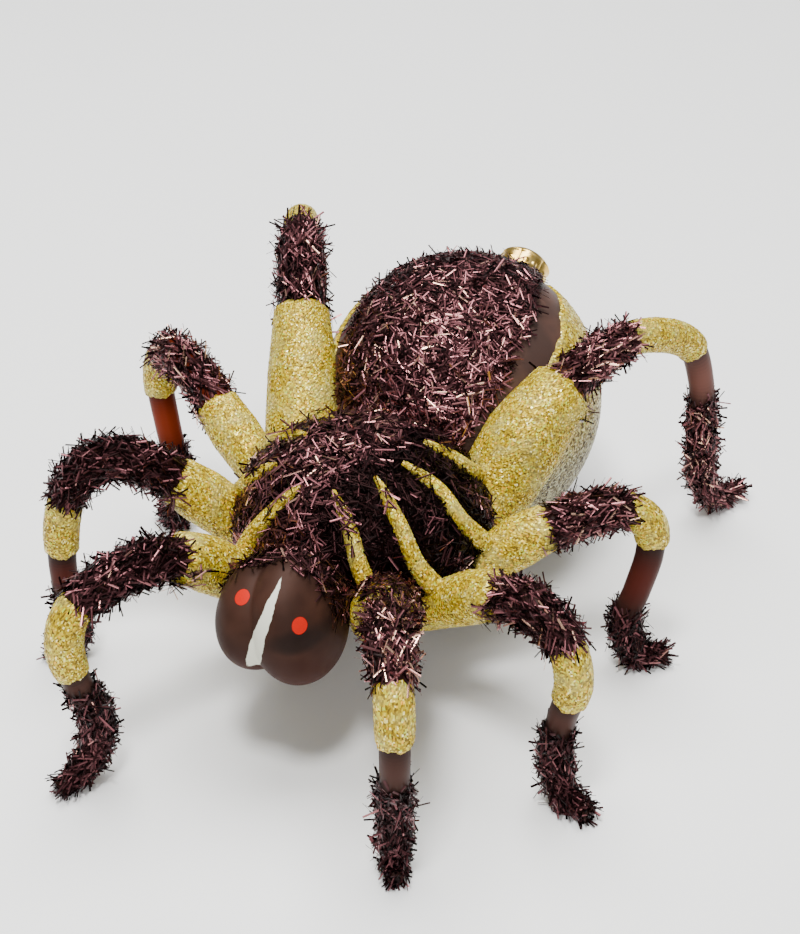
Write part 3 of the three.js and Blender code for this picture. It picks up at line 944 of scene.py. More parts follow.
@dataclass
class Footing:
    """Points on a surface with the directions that strips are laid by.

    Attributes:
        points: Positions, n by 3.
        normals: Outward unit vectors, n by 3.
        along: A unit direction in the surface, n by 3.
    """

    points: Array
    normals: Array
    along: Array

    def __len__(self) -> int:
        """Number of points."""
        return len(self.points)


@dataclass(frozen=True)
class Strips:
    """How cut tinsel is strewn.

    Attributes:
        length: Least and greatest strip length.
        width: Least and greatest strip width.
        tilt: Usual tilt out of the surface, in degrees.
        upright: Share of strips that stand out further.
        depth: How far above the surface the strips' feet lie, at most.
        spread: Turn away from the surface's own direction, in degrees, either way.
        stand: Least and greatest added tilt of the upright strips, in degrees.
        roll: Usual roll about a strip's own length, in degrees.
        crown: Height of the crown on a strip's back.
        behind: Least and greatest share of a strip that lies behind its point.
        chances: The two shape values of the beta law that tones are drawn by.
        depth_shade: Painted shade by depth: factor on the tone of the lowest strips, and what the highest
            have more.
        glint_tone: What a strip's tone has more where it is painted as a highlight.
    """

    length: tuple[float, float] = (2.8, 5.2)
    width: tuple[float, float] = (0.32, 0.52)
    tilt: float = 9.0
    upright: float = 0.07
    depth: float = 1.0
    spread: float = 90.0
    stand: tuple[float, float] = (15.0, 45.0)
    roll: float = 24.0
    crown: float = 0.06
    behind: tuple[float, float] = (0.15, 0.5)
    chances: tuple[float, float] = (1.55, 2.15)
    depth_shade: tuple[float, float] = (0.50, 0.60)
    glint_tone: float = 0.45

    def strew(self, mesh: PieceMesh, footing: Footing, rng: np.random.Generator,
              painted_glint: Array | float = 0.06, shade: Array | float = 1.0) -> None:
        """Lay one strip at each point.

        A strip is a straight prism on a low triangle, so its broad face is flat
        and its back has a slight crown.

        Args:
            mesh: Mesh that receives the strips.
            footing: Where they lie.
            rng: Source of chance.
            painted_glint: Share of strips painted bright as highlights, one number or one per point.
            shade: Factor on the tone, one number or one per point; it carries painted light and shade.
        """
        n = len(footing)
        turn = np.radians(rng.uniform(-self.spread, self.spread, n))[:, None]
        beside = np.cross(footing.normals, footing.along)
        flat = np.cos(turn) * footing.along + np.sin(turn) * beside
        flat *= np.where(rng.random((n, 1)) < 0.5, 1.0, -1.0)
        tilt = np.abs(rng.normal(0.0, self.tilt, n))
        tilt += np.where(rng.random(n) < self.upright, rng.uniform(*self.stand, n), 0.0)
        tilt = np.radians(tilt)[:, None]
        along = np.cos(tilt) * flat + np.sin(tilt) * footing.normals
        face = np.cos(tilt) * footing.normals - np.sin(tilt) * flat
        roll = np.radians(rng.normal(0.0, self.roll, n))[:, None]
        face = np.cos(roll) * face + np.sin(roll) * np.cross(along, face)
        length = rng.uniform(*self.length, n)[:, None]
        width = rng.uniform(*self.width, n)[:, None]
        rise = rng.random(n)
        foot = footing.points + footing.normals * (self.depth * rise[:, None])
        foot = foot - along * length * rng.uniform(*self.behind, (n, 1))
        low = -np.cross(along, face) * width * 0.5
        section = np.stack([foot + low, foot - low, foot + face * self.crown], axis=1)
        points = np.stack([section, section + (along * length)[:, None]], axis=1)
        points[..., 2] = np.maximum(points[..., 2], FLOOR_CLEARANCE)
        # Painted shade: strips lying lower in the pile get darker tones.
        tone = rng.beta(*self.chances, n) * (self.depth_shade[0] + self.depth_shade[1] * rise) * shade
        # Painted highlights: a share of strips get a much brighter tone.
        tone = np.clip(tone + np.where(rng.random(n) < painted_glint, self.glint_tone, 0.0), 0.0, 1.0)
        start = (np.arange(n) * STRIP_POINTS)[:, None]
        walls = np.concatenate([start + corners for corners in STRIP_WALLS])
        ends = np.concatenate([start + corners for corners in STRIP_ENDS])
        mesh.add(points, [walls, ends], [np.tile(tone, len(STRIP_WALLS)), np.tile(tone, len(STRIP_ENDS))])


@dataclass(frozen=True)
class Flakes:
    """How glitter flakes are sized, shifted and toned.

    Attributes:
        size: Width of a flake.
        loose: How far a flake's corners are off their grid, as a share of its width.
        rough: Usual height of its corners above or below the coat.
        plain: Mean and spread of the plain tones.
        plain_most: Greatest plain tone.
        dark_below: Chance below which a flake is dark.
        dark: Least and greatest dark tone.
        glint_above: Chance above which a flake is bright; these flakes are painted glints.
        bright: Least and greatest tone of the flakes that are painted glints.
    """

    size: float = 0.34
    loose: float = 0.3
    rough: float = 0.05
    plain: tuple[float, float] = (0.43, 0.21)
    plain_most: float = 0.72
    dark_below: float = 0.08
    dark: tuple[float, float] = (0.0, 0.12)
    glint_above: float = 0.80
    bright: tuple[float, float] = (0.76, 1.0)

    def tones(self, count: int, rng: np.random.Generator) -> Array:
        """Tones for flakes: mostly mid yellow, some dark, and some bright ones that are painted glints.
        """
        tones = np.clip(rng.normal(*self.plain, count), 0.0, self.plain_most)
        chance = rng.random(count)
        tones = np.where(chance < self.dark_below, rng.uniform(*self.dark, count), tones)
        return np.where(chance > self.glint_above, rng.uniform(*self.bright, count), tones)

    def shifts(self, shape: tuple[int, ...], rng: np.random.Generator) -> Array:
        """Random shifts of grid corners, as shares of a flake's width."""
        return rng.uniform(-self.loose, self.loose, shape)


FLAKES = Flakes()
THIGH_STRIPS = Strips(length=(3.0, 5.8), width=(0.34, 0.52), tilt=12.0, upright=0.17, depth=0.7,
                      spread=58.0)
FRINGE_STRIPS = Strips(tilt=14.0, upright=0.15, depth=0.3)
COLLAR_STRIPS = Strips(tilt=10.0, depth=0.7)
FOOT_STRIPS = Strips(width=(0.34, 0.52), tilt=12.0, upright=0.15, depth=0.6, spread=62.0)
TOE_STRIPS = Strips(length=(2.0, 3.6), width=(0.34, 0.52), tilt=30.0, upright=0.2, depth=0.4)
DOME_STRIPS = Strips(depth=1.1)
CROWN_STRIPS = Strips(depth=0.5, spread=70.0)
VEIL_STRIPS = Strips(depth=0.3)
BULB_STRIPS = Strips(tilt=7.0, upright=0.05, depth=0.9)


class LegLine:
    """The centre line of a leg: a curve in an upright plane."""

    def __init__(self, root: tuple[float, float], bearing: float,
                 arch: Sequence[tuple[float, float]]) -> None:
        """Sample the curve finely.

        Args:
            root: Where the plane starts, x and y.
            bearing: Direction of the leg from above, in degrees from +X.
            arch: Points as reach from the root and height.
        """
        turn = math.radians(bearing)
        heading = np.array([math.cos(turn), math.sin(turn), 0.0])
        table = np.asarray(arch, dtype=float)
        points = np.array([*root, 0.0]) + table[:, :1] * heading + table[:, 1:] * UP
        self.across = np.cross(UP, heading)
        self.samples = curve_through(points, LEG_STEPS)
        self.distances = path_lengths(self.samples)
        self.length = float(self.distances[-1])

    def at(self, distance: Array) -> Array:
        """Points at distances along the curve, carried on straight past its ends."""
        first = unit(self.samples[1] - self.samples[0])
        last = unit(self.samples[-1] - self.samples[-2])
        before = np.minimum(distance, 0.0)[..., None] * first
        after = np.maximum(distance - self.length, 0.0)[..., None] * last
        inside = np.clip(distance, 0.0, self.length)
        return walk(self.samples, self.distances, inside) + before + after

    def tangent(self, distance: Array) -> Array:
        """Unit directions of travel."""
        return unit(self.at(distance + TANGENT_STEP) - self.at(distance - TANGENT_STEP))

    def normal(self, distance: Array) -> Array:
        """Unit directions square to the curve, in its plane."""
        return np.cross(self.tangent(distance), np.broadcast_to(self.across, (*np.shape(distance), 3)))

    def surface(self, distance: Array, angle: Array, radius: Array) -> Array:
        """Points around the curve: P + r (cos a across + sin a normal)."""
        out = np.cos(angle)[..., None] * self.across + np.sin(angle)[..., None] * self.normal(distance)
        return self.at(distance) + radius[..., None] * out


@dataclass
class Leg:
    """One leg: glitter base with its rib, glass tube, tinsel thigh, glitter knee, tinsel foot.

    Attributes:
        name: Short name of the leg.
        root: Where it leaves the body, x and y.
        bearing: Direction from above, degrees.
        arch: Centre line as reach and height.
        bands: Distances where thigh, knee, shin and foot begin.
        rib: Where its rib crosses the fore body, seen from above.
        coxa: Radius of the base at its root, middle and end.
        glass: Shade of its glass.
        painted_light: Share of strips painted as highlights on the thigh, and a factor on its tones that
            paints this leg lighter or darker as the light falls on it.
        foot_light_paint: The same for the foot.
        collar: How many strips lie on the upper outer side of the base.
        thigh_radii: Radius of the thigh at even steps.
        inset: How far the base runs back into the body.
        rod_radii: Radius of the glass where each band begins, at the heel and at the toe.
        toe_length: Length from the heel to the toe.
        knee_radii: Radius of the knee at even steps.
        knee_lap: How far the knee's glitter runs up under the thigh.
        foot_radii: Radius of the foot at even steps.
        thigh_density: Strips to the square millimetre on the thigh.
        foot_density: The same on the foot.
        fringe: How many strips hang from the thigh over the underside of the base.
        toe_count: How many strips stand on the end of the toe.
    """

    name: str
    root: tuple[float, float]
    bearing: float
    arch: tuple[tuple[float, float], ...]
    bands: tuple[float, float, float, float]
    rib: tuple[tuple[float, float], ...]
    coxa: tuple[float, float, float] = (5.4, 5.9, 5.2)
    glass: Glass = Glass.BROWN
    painted_light: tuple[float, float] = (0.08, 0.9)
    foot_light_paint: tuple[float, float] = (0.02, 0.75)
    collar: int = 0
    thigh_radii: tuple[float, ...] = (4.5, 4.6, 4.4, 4.0)
    inset: float = 9.0
    rod_radii: tuple[float, ...] = (4.2, 3.5, 3.25, 3.1, 2.6, 1.6)
    toe_length: float = 7.0
    knee_radii: tuple[float, ...] = (4.0, 4.15, 4.1, 3.85)
    knee_lap: float = 0.6
    foot_radii: tuple[float, ...] = (3.3, 3.7, 3.6, 3.2, 1.9)
    thigh_density: float = 2.1
    foot_density: float = 2.0
    fringe: int = 60
    toe_count: int = 44

    def __post_init__(self) -> None:
        """Lay out the centre line."""
        self.line = LegLine(self.root, self.bearing, self.arch)

    def rod_radius(self, distance: Array) -> Array:
        """Radius of the glass tube, straight between its marks."""
        marks = [*self.bands, self.line.length - self.toe_length, self.line.length]
        return np.interp(distance, marks, self.rod_radii)

    def coxa_radius(self, distance: Array) -> Array:
        """Radius of the base, straight between root, middle and end."""
        return np.interp(distance / self.bands[0], [0.0, 0.5, 1.0], self.coxa)

    def knee_radius(self, distance: Array) -> Array:
        """Radius of the glitter band, straight between its marks."""
        marks = np.linspace(self.bands[1] - self.knee_lap, self.bands[2], len(self.knee_radii))
        return np.interp(distance, marks, self.knee_radii)

    def build(self, carapace: "Carapace", finishes: Finishes) -> None:
        """Make the leg's five pieces."""
        self._base(carapace, finishes)
        self._tube(finishes)
        self._thigh(finishes)
        self._knee(finishes)
        self._foot(finishes)

    def _crust(self, start: float, stop: float, radius_at: Callable[[Array], Array],
               taper: tuple[float, float], ragged: float,
               rng: np.random.Generator) -> tuple[Array, Array]:
        """Rings of a glitter coat, with every grid point a little off its place.

        Args:
            start: Distance where the coat begins.
            stop: Distance where it ends.
            radius_at: Function from distances to the coat's radius.
            taper: Length over which each end runs down into the glass.
            ragged: How far the ends wander.
            rng: Source of chance.

        Returns:
            The rings, and a tone for each wall face.
        """
        probes = radius_at(np.linspace(start, stop, 9))
        rows = int((stop - start) / FLAKES.size)
        sides = int(FULL_TURN * float(np.mean(probes)) / FLAKES.size)
        angle = ring_angles(sides)
        seeds = rng.uniform(0, 6, 2)
        first = start + ragged * waves(angle * 2, seeds[0])
        last = stop + ragged * waves(angle * 2, seeds[1])
        distance = first + (last - first) * np.linspace(0.0, 1.0, rows)[:, None]
        distance = distance + FLAKES.shifts(distance.shape, rng) * FLAKES.size
        angles = angle + FLAKES.shifts(distance.shape, rng) * (FULL_TURN / sides)
        radius = radius_at(distance) + rng.normal(0.0, FLAKES.rough, distance.shape)
        ends = np.minimum(tapered(distance - first, taper[0]), tapered(last - distance, taper[1]))
        least, more = CRUST_END
        rings = self.line.surface(distance, angles, radius * (least + more * np.sqrt(ends)))
        return rings, FLAKES.tones((rows - 1) * sides, rng)

    def _base(self, carapace: "Carapace", finishes: Finishes) -> None:
        """The glitter base and the rib that runs from it up the back."""
        rng = rng_for("base" + self.name)
        mesh = PieceMesh()
        end = self.bands[0] + BASE_LAP
        mesh.add_tube(*self._crust(-self.inset, end, self.coxa_radius, BASE_TAPER, BASE_RAGGED, rng))
        mesh.add_tube(*carapace.lay_rib(self.rib, self.line.at(np.array(RIB_ROOT)), rng))
        mesh.piece("limb_base_" + self.name, ["base_" + self.name],
                   finishes.glitter, False)

    def _tube(self, finishes: Finishes) -> None:
        """The glass tube from the base to the toe, with painted light shining through it: warmest midway
        along its bare stretch.
        """
        shin, foot = self.bands[2:]
        distance = np.linspace(self.bands[0] - 1.0, self.line.length, TUBE_ROWS)
        # Painted light shining through the bare glass, strongest midway.
        share = (0.5 * (distance[1:] + distance[:-1]) - shin) / (foot - shin)
        painted_glow = np.sin(math.pi * np.clip(share, 0.0, 1.0))
        grid, turn = np.meshgrid(distance, ring_angles(TUBE_SIDES), indexing="ij")
        mesh = PieceMesh()
        mesh.add_tube(self.line.surface(grid, turn, self.rod_radius(grid)), np.repeat(painted_glow, TUBE_SIDES))
        mesh.piece("glass_leg_" + self.name, ["leg_" + self.name],
                   finishes.leg_glass[self.glass], True)

    def _footing(self, distance: Array, angle: Array, radius: Array) -> Footing:
        """Points on the leg's skin with their outward and lengthwise directions."""
        points = self.line.surface(distance, angle, radius)
        return Footing(points, unit(points - self.line.at(distance)), self.line.tangent(distance))

    def _shade_sleeve(self, mesh: PieceMesh, start: float, stop: float, radii: Array) -> None:
        """A dark under-coat that shuts the gaps between strips: painted shade deep in the pile."""
        distance = np.linspace(start, stop, max(8, int((stop - start) / SLEEVE_STEP)))
        ends = tapered(np.minimum(distance - start, stop - distance), SLEEVE_TAPER)
        least, more = SLEEVE_END
        radius = even_radius(distance, start, stop, radii) * (least + more * np.sqrt(ends))
        grid, turn = np.meshgrid(distance, ring_angles(SLEEVE_SIDES), indexing="ij")
        rings = self.line.surface(grid, turn, np.broadcast_to(radius[:, None], grid.shape))
        rings[..., 2] = np.maximum(rings[..., 2], 0.0)
        mesh.add_tube(rings, SLEEVE_SHADE_TONE)

    def _tinsel(self, mesh: PieceMesh, start: float, stop: float, radii: Sequence[float], density: float,
                strips: Strips, painted_light: tuple[float, float], rng: np.random.Generator) -> None:
        """Strips all over a stretch of the leg, as many as its area asks for.

        Args:
            mesh: Mesh that receives the strips.
            start: Distance where they begin.
            stop: Distance where they end.
            radii: Radius at even steps between.
            density: Strips to the square millimetre.
            strips: How they are laid.
            painted_light: Share of strips painted as highlights, and a factor on every tone for painted
                light and shade.
            rng: Source of chance.
        """
        area = FULL_TURN * float(np.mean(radii)) * (stop - start)
        count = int(area * density)
        distance = rng.uniform(start, stop, count)
        radius = even_radius(distance, start, stop, radii) - STRIP_SINK
        angle = rng.uniform(0.0, FULL_TURN, count)
        strips.strew(mesh, self._footing(distance, angle, radius), rng, *painted_light)

    def _thigh(self, finishes: Finishes) -> None:
        """The tinsel thigh, with a fringe under the base and, on one leg, a collar over it."""
        rng = rng_for("thigh" + self.name)
        mesh = PieceMesh()
        start, stop = self.bands[:2]
        self._shade_sleeve(mesh, start - 0.5, stop + 0.3, np.array(self.thigh_radii) - 0.7)
        self._tinsel(mesh, start + 0.5, stop - 0.6, self.thigh_radii, self.thigh_density, THIGH_STRIPS,
                     self.painted_light, rng)
        distance = start * (FRINGE_SPAN[0] + FRINGE_SPAN[1] * rng.beta(*FRINGE_CHANCES, self.fringe))
        angle = rng.uniform(*FRINGE_ANGLES, self.fringe)
        under = self._footing(distance, angle, self.coxa_radius(distance))
        FRINGE_STRIPS.strew(mesh, under, rng)
        distance = start * rng.uniform(*COLLAR_SPAN, self.collar)
        angle = rng.uniform(*COLLAR_ANGLES, self.collar)
        over = self._footing(distance, angle, self.coxa_radius(distance))
        COLLAR_STRIPS.strew(mesh, over, rng, *self.painted_light)
        mesh.piece("tinsel_thigh_" + self.name, ["thigh_tinsel_" + self.name],
                   finishes.tinsel, False)

    def _knee(self, finishes: Finishes) -> None:
        """The glitter band below the thigh."""
        rng = rng_for("knee" + self.name)
        start, stop = self.bands[1] - self.knee_lap, self.bands[2]
        mesh = PieceMesh()
        mesh.add_tube(*self._crust(start, stop, self.knee_radius, KNEE_TAPER, KNEE_RAGGED, rng))
        mesh.piece("glitter_knee_" + self.name, ["knee_glitter_" + self.name],
                   finishes.glitter, False)

    def _foot(self, finishes: Finishes) -> None:
        """The tinsel foot, flat on the floor."""
        rng = rng_for("foot" + self.name)
        mesh = PieceMesh()
        start, stop = self.bands[3], self.line.length + 0.3
        self._shade_sleeve(mesh, start, stop, np.array(self.foot_radii) - 0.5)
        self._tinsel(mesh, start + 0.4, stop - 1.4, self.foot_radii, self.foot_density, FOOT_STRIPS,
                     self.foot_light_paint, rng)
        TOE_STRIPS.strew(mesh, self._toe(rng), rng, *self.foot_light_paint)
        mesh.piece("tinsel_foot_" + self.name, ["foot_tinsel_" + self.name],
                   finishes.tinsel, False)

    def _toe(self, rng: np.random.Generator) -> Footing:
        """Points over the blunt end of the toe, facing ahead."""
        distance = self.line.length - rng.uniform(0.0, TOE_REACH, self.toe_count)
        angle = rng.uniform(0.0, FULL_TURN, self.toe_count)
        radius = self.foot_radii[-1] * np.sqrt(rng.random(self.toe_count))
        points = self.line.surface(distance, angle, radius)
        ahead = self.line.tangent(distance)
        return Footing(points, ahead, np.broadcast_to(self.line.across, ahead.shape))


@dataclass
class Carapace:
    """The fore body: a flattened glass dome under tinsel, crossed by glitter ribs.

    Attributes:
        centre: Middle of the dome.
        radii: Its half sizes along x, y and z.
        skirt: How far down its tinsel reaches, in degrees from the top.
        grain: Direction that the strips are laid square to.
        count: How many strips are tried on the dome.
        fringe: How many strips lie over the rear of the head.
        rib_radii: Radius of a rib at even steps from its tip.
        rib_lift: How far a rib's centre line is above the glass.
        rib_tip: How far a rib runs on past its first place.
        rib_sides: Flakes round a rib.
        rib_slip: How far a flake's corners slip along a rib.
        clearance: How far strips keep from a rib's centre line.
        veils: Strips on top of a rib and the share of it they lie on, for the first rib and the others.
        veil_reach: How far to either side of a rib those strips lie.
        veil_lift: How far above a rib's centre line.
        veil_light_paint: Their share of strips painted as highlights, and a factor on their tones.
        painted_glint: Share of strips on the dome painted bright as highlights.
        gap_shade: How far painted shade drops the tones between the ribs.
        shade_reach: Distances from a rib between which that painted shade begins.
        shade_side: x between which it begins, so that one side of the dome is darkened.
        rib_lines: Centre lines of the ribs that have been laid.
    """

    centre: tuple[float, float, float] = (-0.5, -13.5, 38.0)
    radii: tuple[float, float, float] = (28.0, 27.7, 21.0)
    skirt: float = 97.0
    grain: tuple[float, float, float] = (0.3, 0.9, 0.31)
    count: int = 9800
    fringe: int = 1050
    rib_radii: tuple[float, ...] = (0.5, 1.45, 1.8, 2.0, 2.3)
    rib_lift: float = 1.0
    rib_tip: float = 2.0
    rib_sides: int = 36
    rib_slip: float = 0.15
    clearance: float = 2.2
    veils: tuple[tuple[int, float], tuple[int, float]] = ((34, 0.70), (9, 0.35))
    veil_reach: float = 1.6
    veil_lift: float = 1.7
    veil_light_paint: tuple[float, float] = (0.04, 0.8)
    painted_glint: float = 0.06
    gap_shade: float = 0.76
    shade_reach: tuple[float, float] = (9.0, 5.0)
    shade_side: tuple[float, float] = (-5.0, 1.0)
    rib_lines: list[Array] = field(default_factory=list)

    def point(self, ways: Array, grow: float = 0.0) -> Array:
        """Points of the dome: centre + (a x, b y, c z) for unit vectors (x, y, z)."""
        return np.array(self.centre) + ways * (np.array(self.radii) + grow)

    def normal(self, points: Array) -> Array:
        """Outward unit vectors at points of the dome."""
        return unit((points - np.array(self.centre)) / np.array(self.radii) ** 2)

    def over(self, plan: Array, grow: float) -> Array:
        """Points of the dome straight above places seen from above."""
        shape = np.array(self.radii) + grow
        off = (plan - np.array(self.centre[:2])) / shape[:2]
        rise = np.sqrt(np.maximum(1.0 - np.sum(off * off, axis=-1), 0.0))
        return np.concatenate([plan, (self.centre[2] + shape[2] * rise)[..., None]], axis=-1)

    def lay_rib(self, plan: Sequence[tuple[float, float]], root: Array,
                rng: np.random.Generator) -> tuple[Array, Array]:
        """Rings of the rib that runs from the crown of the dome to a leg; its line is kept.

        Args:
            plan: Places it crosses, seen from above.
            root: Where it ends, in the leg.
            rng: Source of chance.

        Returns:
            The rings, and a tone for each wall face.
        """
        places = np.asarray(plan, dtype=float)
        tip = places[0] - self.rib_tip * unit(places[1] - places[0])
        knots = self.over(np.concatenate([tip[None], places]), self.rib_lift)
        knots = np.concatenate([knots, root[None]])
        self.rib_lines.append(knots)
        fine = curve_through(knots, RIB_STEPS)
        lengths = path_lengths(fine)
        rows, sides = int(lengths[-1] / FLAKES.size), self.rib_sides
        shape = (rows, sides)
        distance = np.linspace(0.0, lengths[-1], rows)
        path = walk(fine, lengths, distance)
        ahead = unit(np.gradient(path, axis=0))
        side = unit(np.cross(ahead, self.normal(path)))
        out = np.cross(side, ahead)
        marks = np.linspace(0.0, lengths[-1], len(self.rib_radii) + 1)
        size = np.interp(distance, marks, [*self.rib_radii, self.rib_radii[-1]])
        turn = ring_angles(sides) + FLAKES.shifts(shape, rng) * FULL_TURN / sides
        radius = size[:, None] + rng.normal(0.0, FLAKES.rough, shape)
        shift = rng.uniform(-self.rib_slip, self.rib_slip, shape)
        around = np.cos(turn)[..., None] * side[:, None] + np.sin(turn)[..., None] * out[:, None]
        rings = path[:, None] + radius[..., None] * around + shift[..., None] * ahead[:, None]
        return rings[:, ::-1], FLAKES.tones((rows - 1) * sides, rng)

    def build(self, head: "Head", finishes: Finishes) -> None:
        """Make the glass dome and its tinsel, with a fringe over the head."""
        glass = PieceMesh()
        glass.add_tube(self.point(globe(0.03, math.pi - 0.03, 60, 96))[::-1])
        glass.piece("fore_body_glass", ["carapace"], finishes.glass, True)
        rng = rng_for("carapace")
        mesh = PieceMesh()
        # Dark under-coat: painted shade between the strips.
        under = self.point(globe(0.02, math.radians(self.skirt), 40, 72), UNDER_COAT)
        mesh.add_tube(under[::-1], UNDER_SHADE_TONE)
        footing, shade = self._footing(rng)
        DOME_STRIPS.strew(mesh, footing, rng, self.painted_glint * shade, shade)
        CROWN_STRIPS.strew(mesh, head.crown(self.fringe, rng), rng)
        for number, knots in enumerate(self.rib_lines):
            veil = self._veil(knots, *self.veils[min(number, 1)], rng)
            VEIL_STRIPS.strew(mesh, veil, rng, *self.veil_light_paint)
        mesh.piece("tinsel_fore_body", ["carapace_tinsel"], finishes.tinsel, False)

    def _veil(self, knots: Array, count: int, reach: float, rng: np.random.Generator) -> Footing:
        """Points on top of a rib, from its tip to a share of its length."""
        line = curve_through(knots[1:-1], RIB_STEPS)
        path = line[(rng.random(count) * reach * (len(line) - 1)).astype(int)]
        normals = self.normal(path)
        along = unit(np.cross(normals, self.grain))
        aside = np.cross(normals, along) * rng.uniform(-self.veil_reach, self.veil_reach, (count, 1))
        return Footing(path + normals * self.veil_lift + aside, normals, along)

    def _footing(self, rng: np.random.Generator) -> tuple[Footing, Array]:
        """Points strewn evenly over the dome, clear of the ribs, and a factor that paints shade between
        them.
        """
        height = rng.uniform(math.cos(math.radians(self.skirt)), 1.0, self.count)
        azimuth = rng.uniform(0.0, FULL_TURN, self.count)
        points = self.point(ball(np.arccos(height), azimuth), STRIP_LIFT)
        ribs = np.concatenate([curve_through(knots[1:], 8) for knots in self.rib_lines])
        reach = np.min(np.linalg.norm(points[:, None] - ribs[None], axis=2), axis=1)
        kept = reach > self.clearance
        points = points[kept]
        # Painted shade: strips deep between the ribs get darker tones.
        between = smoothstep(*self.shade_reach, reach[kept]) * smoothstep(*self.shade_side, points[:, 0])
        normals = self.normal(points)
        along = unit(np.cross(normals, self.grain))
        return Footing(points, normals, along), 1.0 - self.gap_shade * between


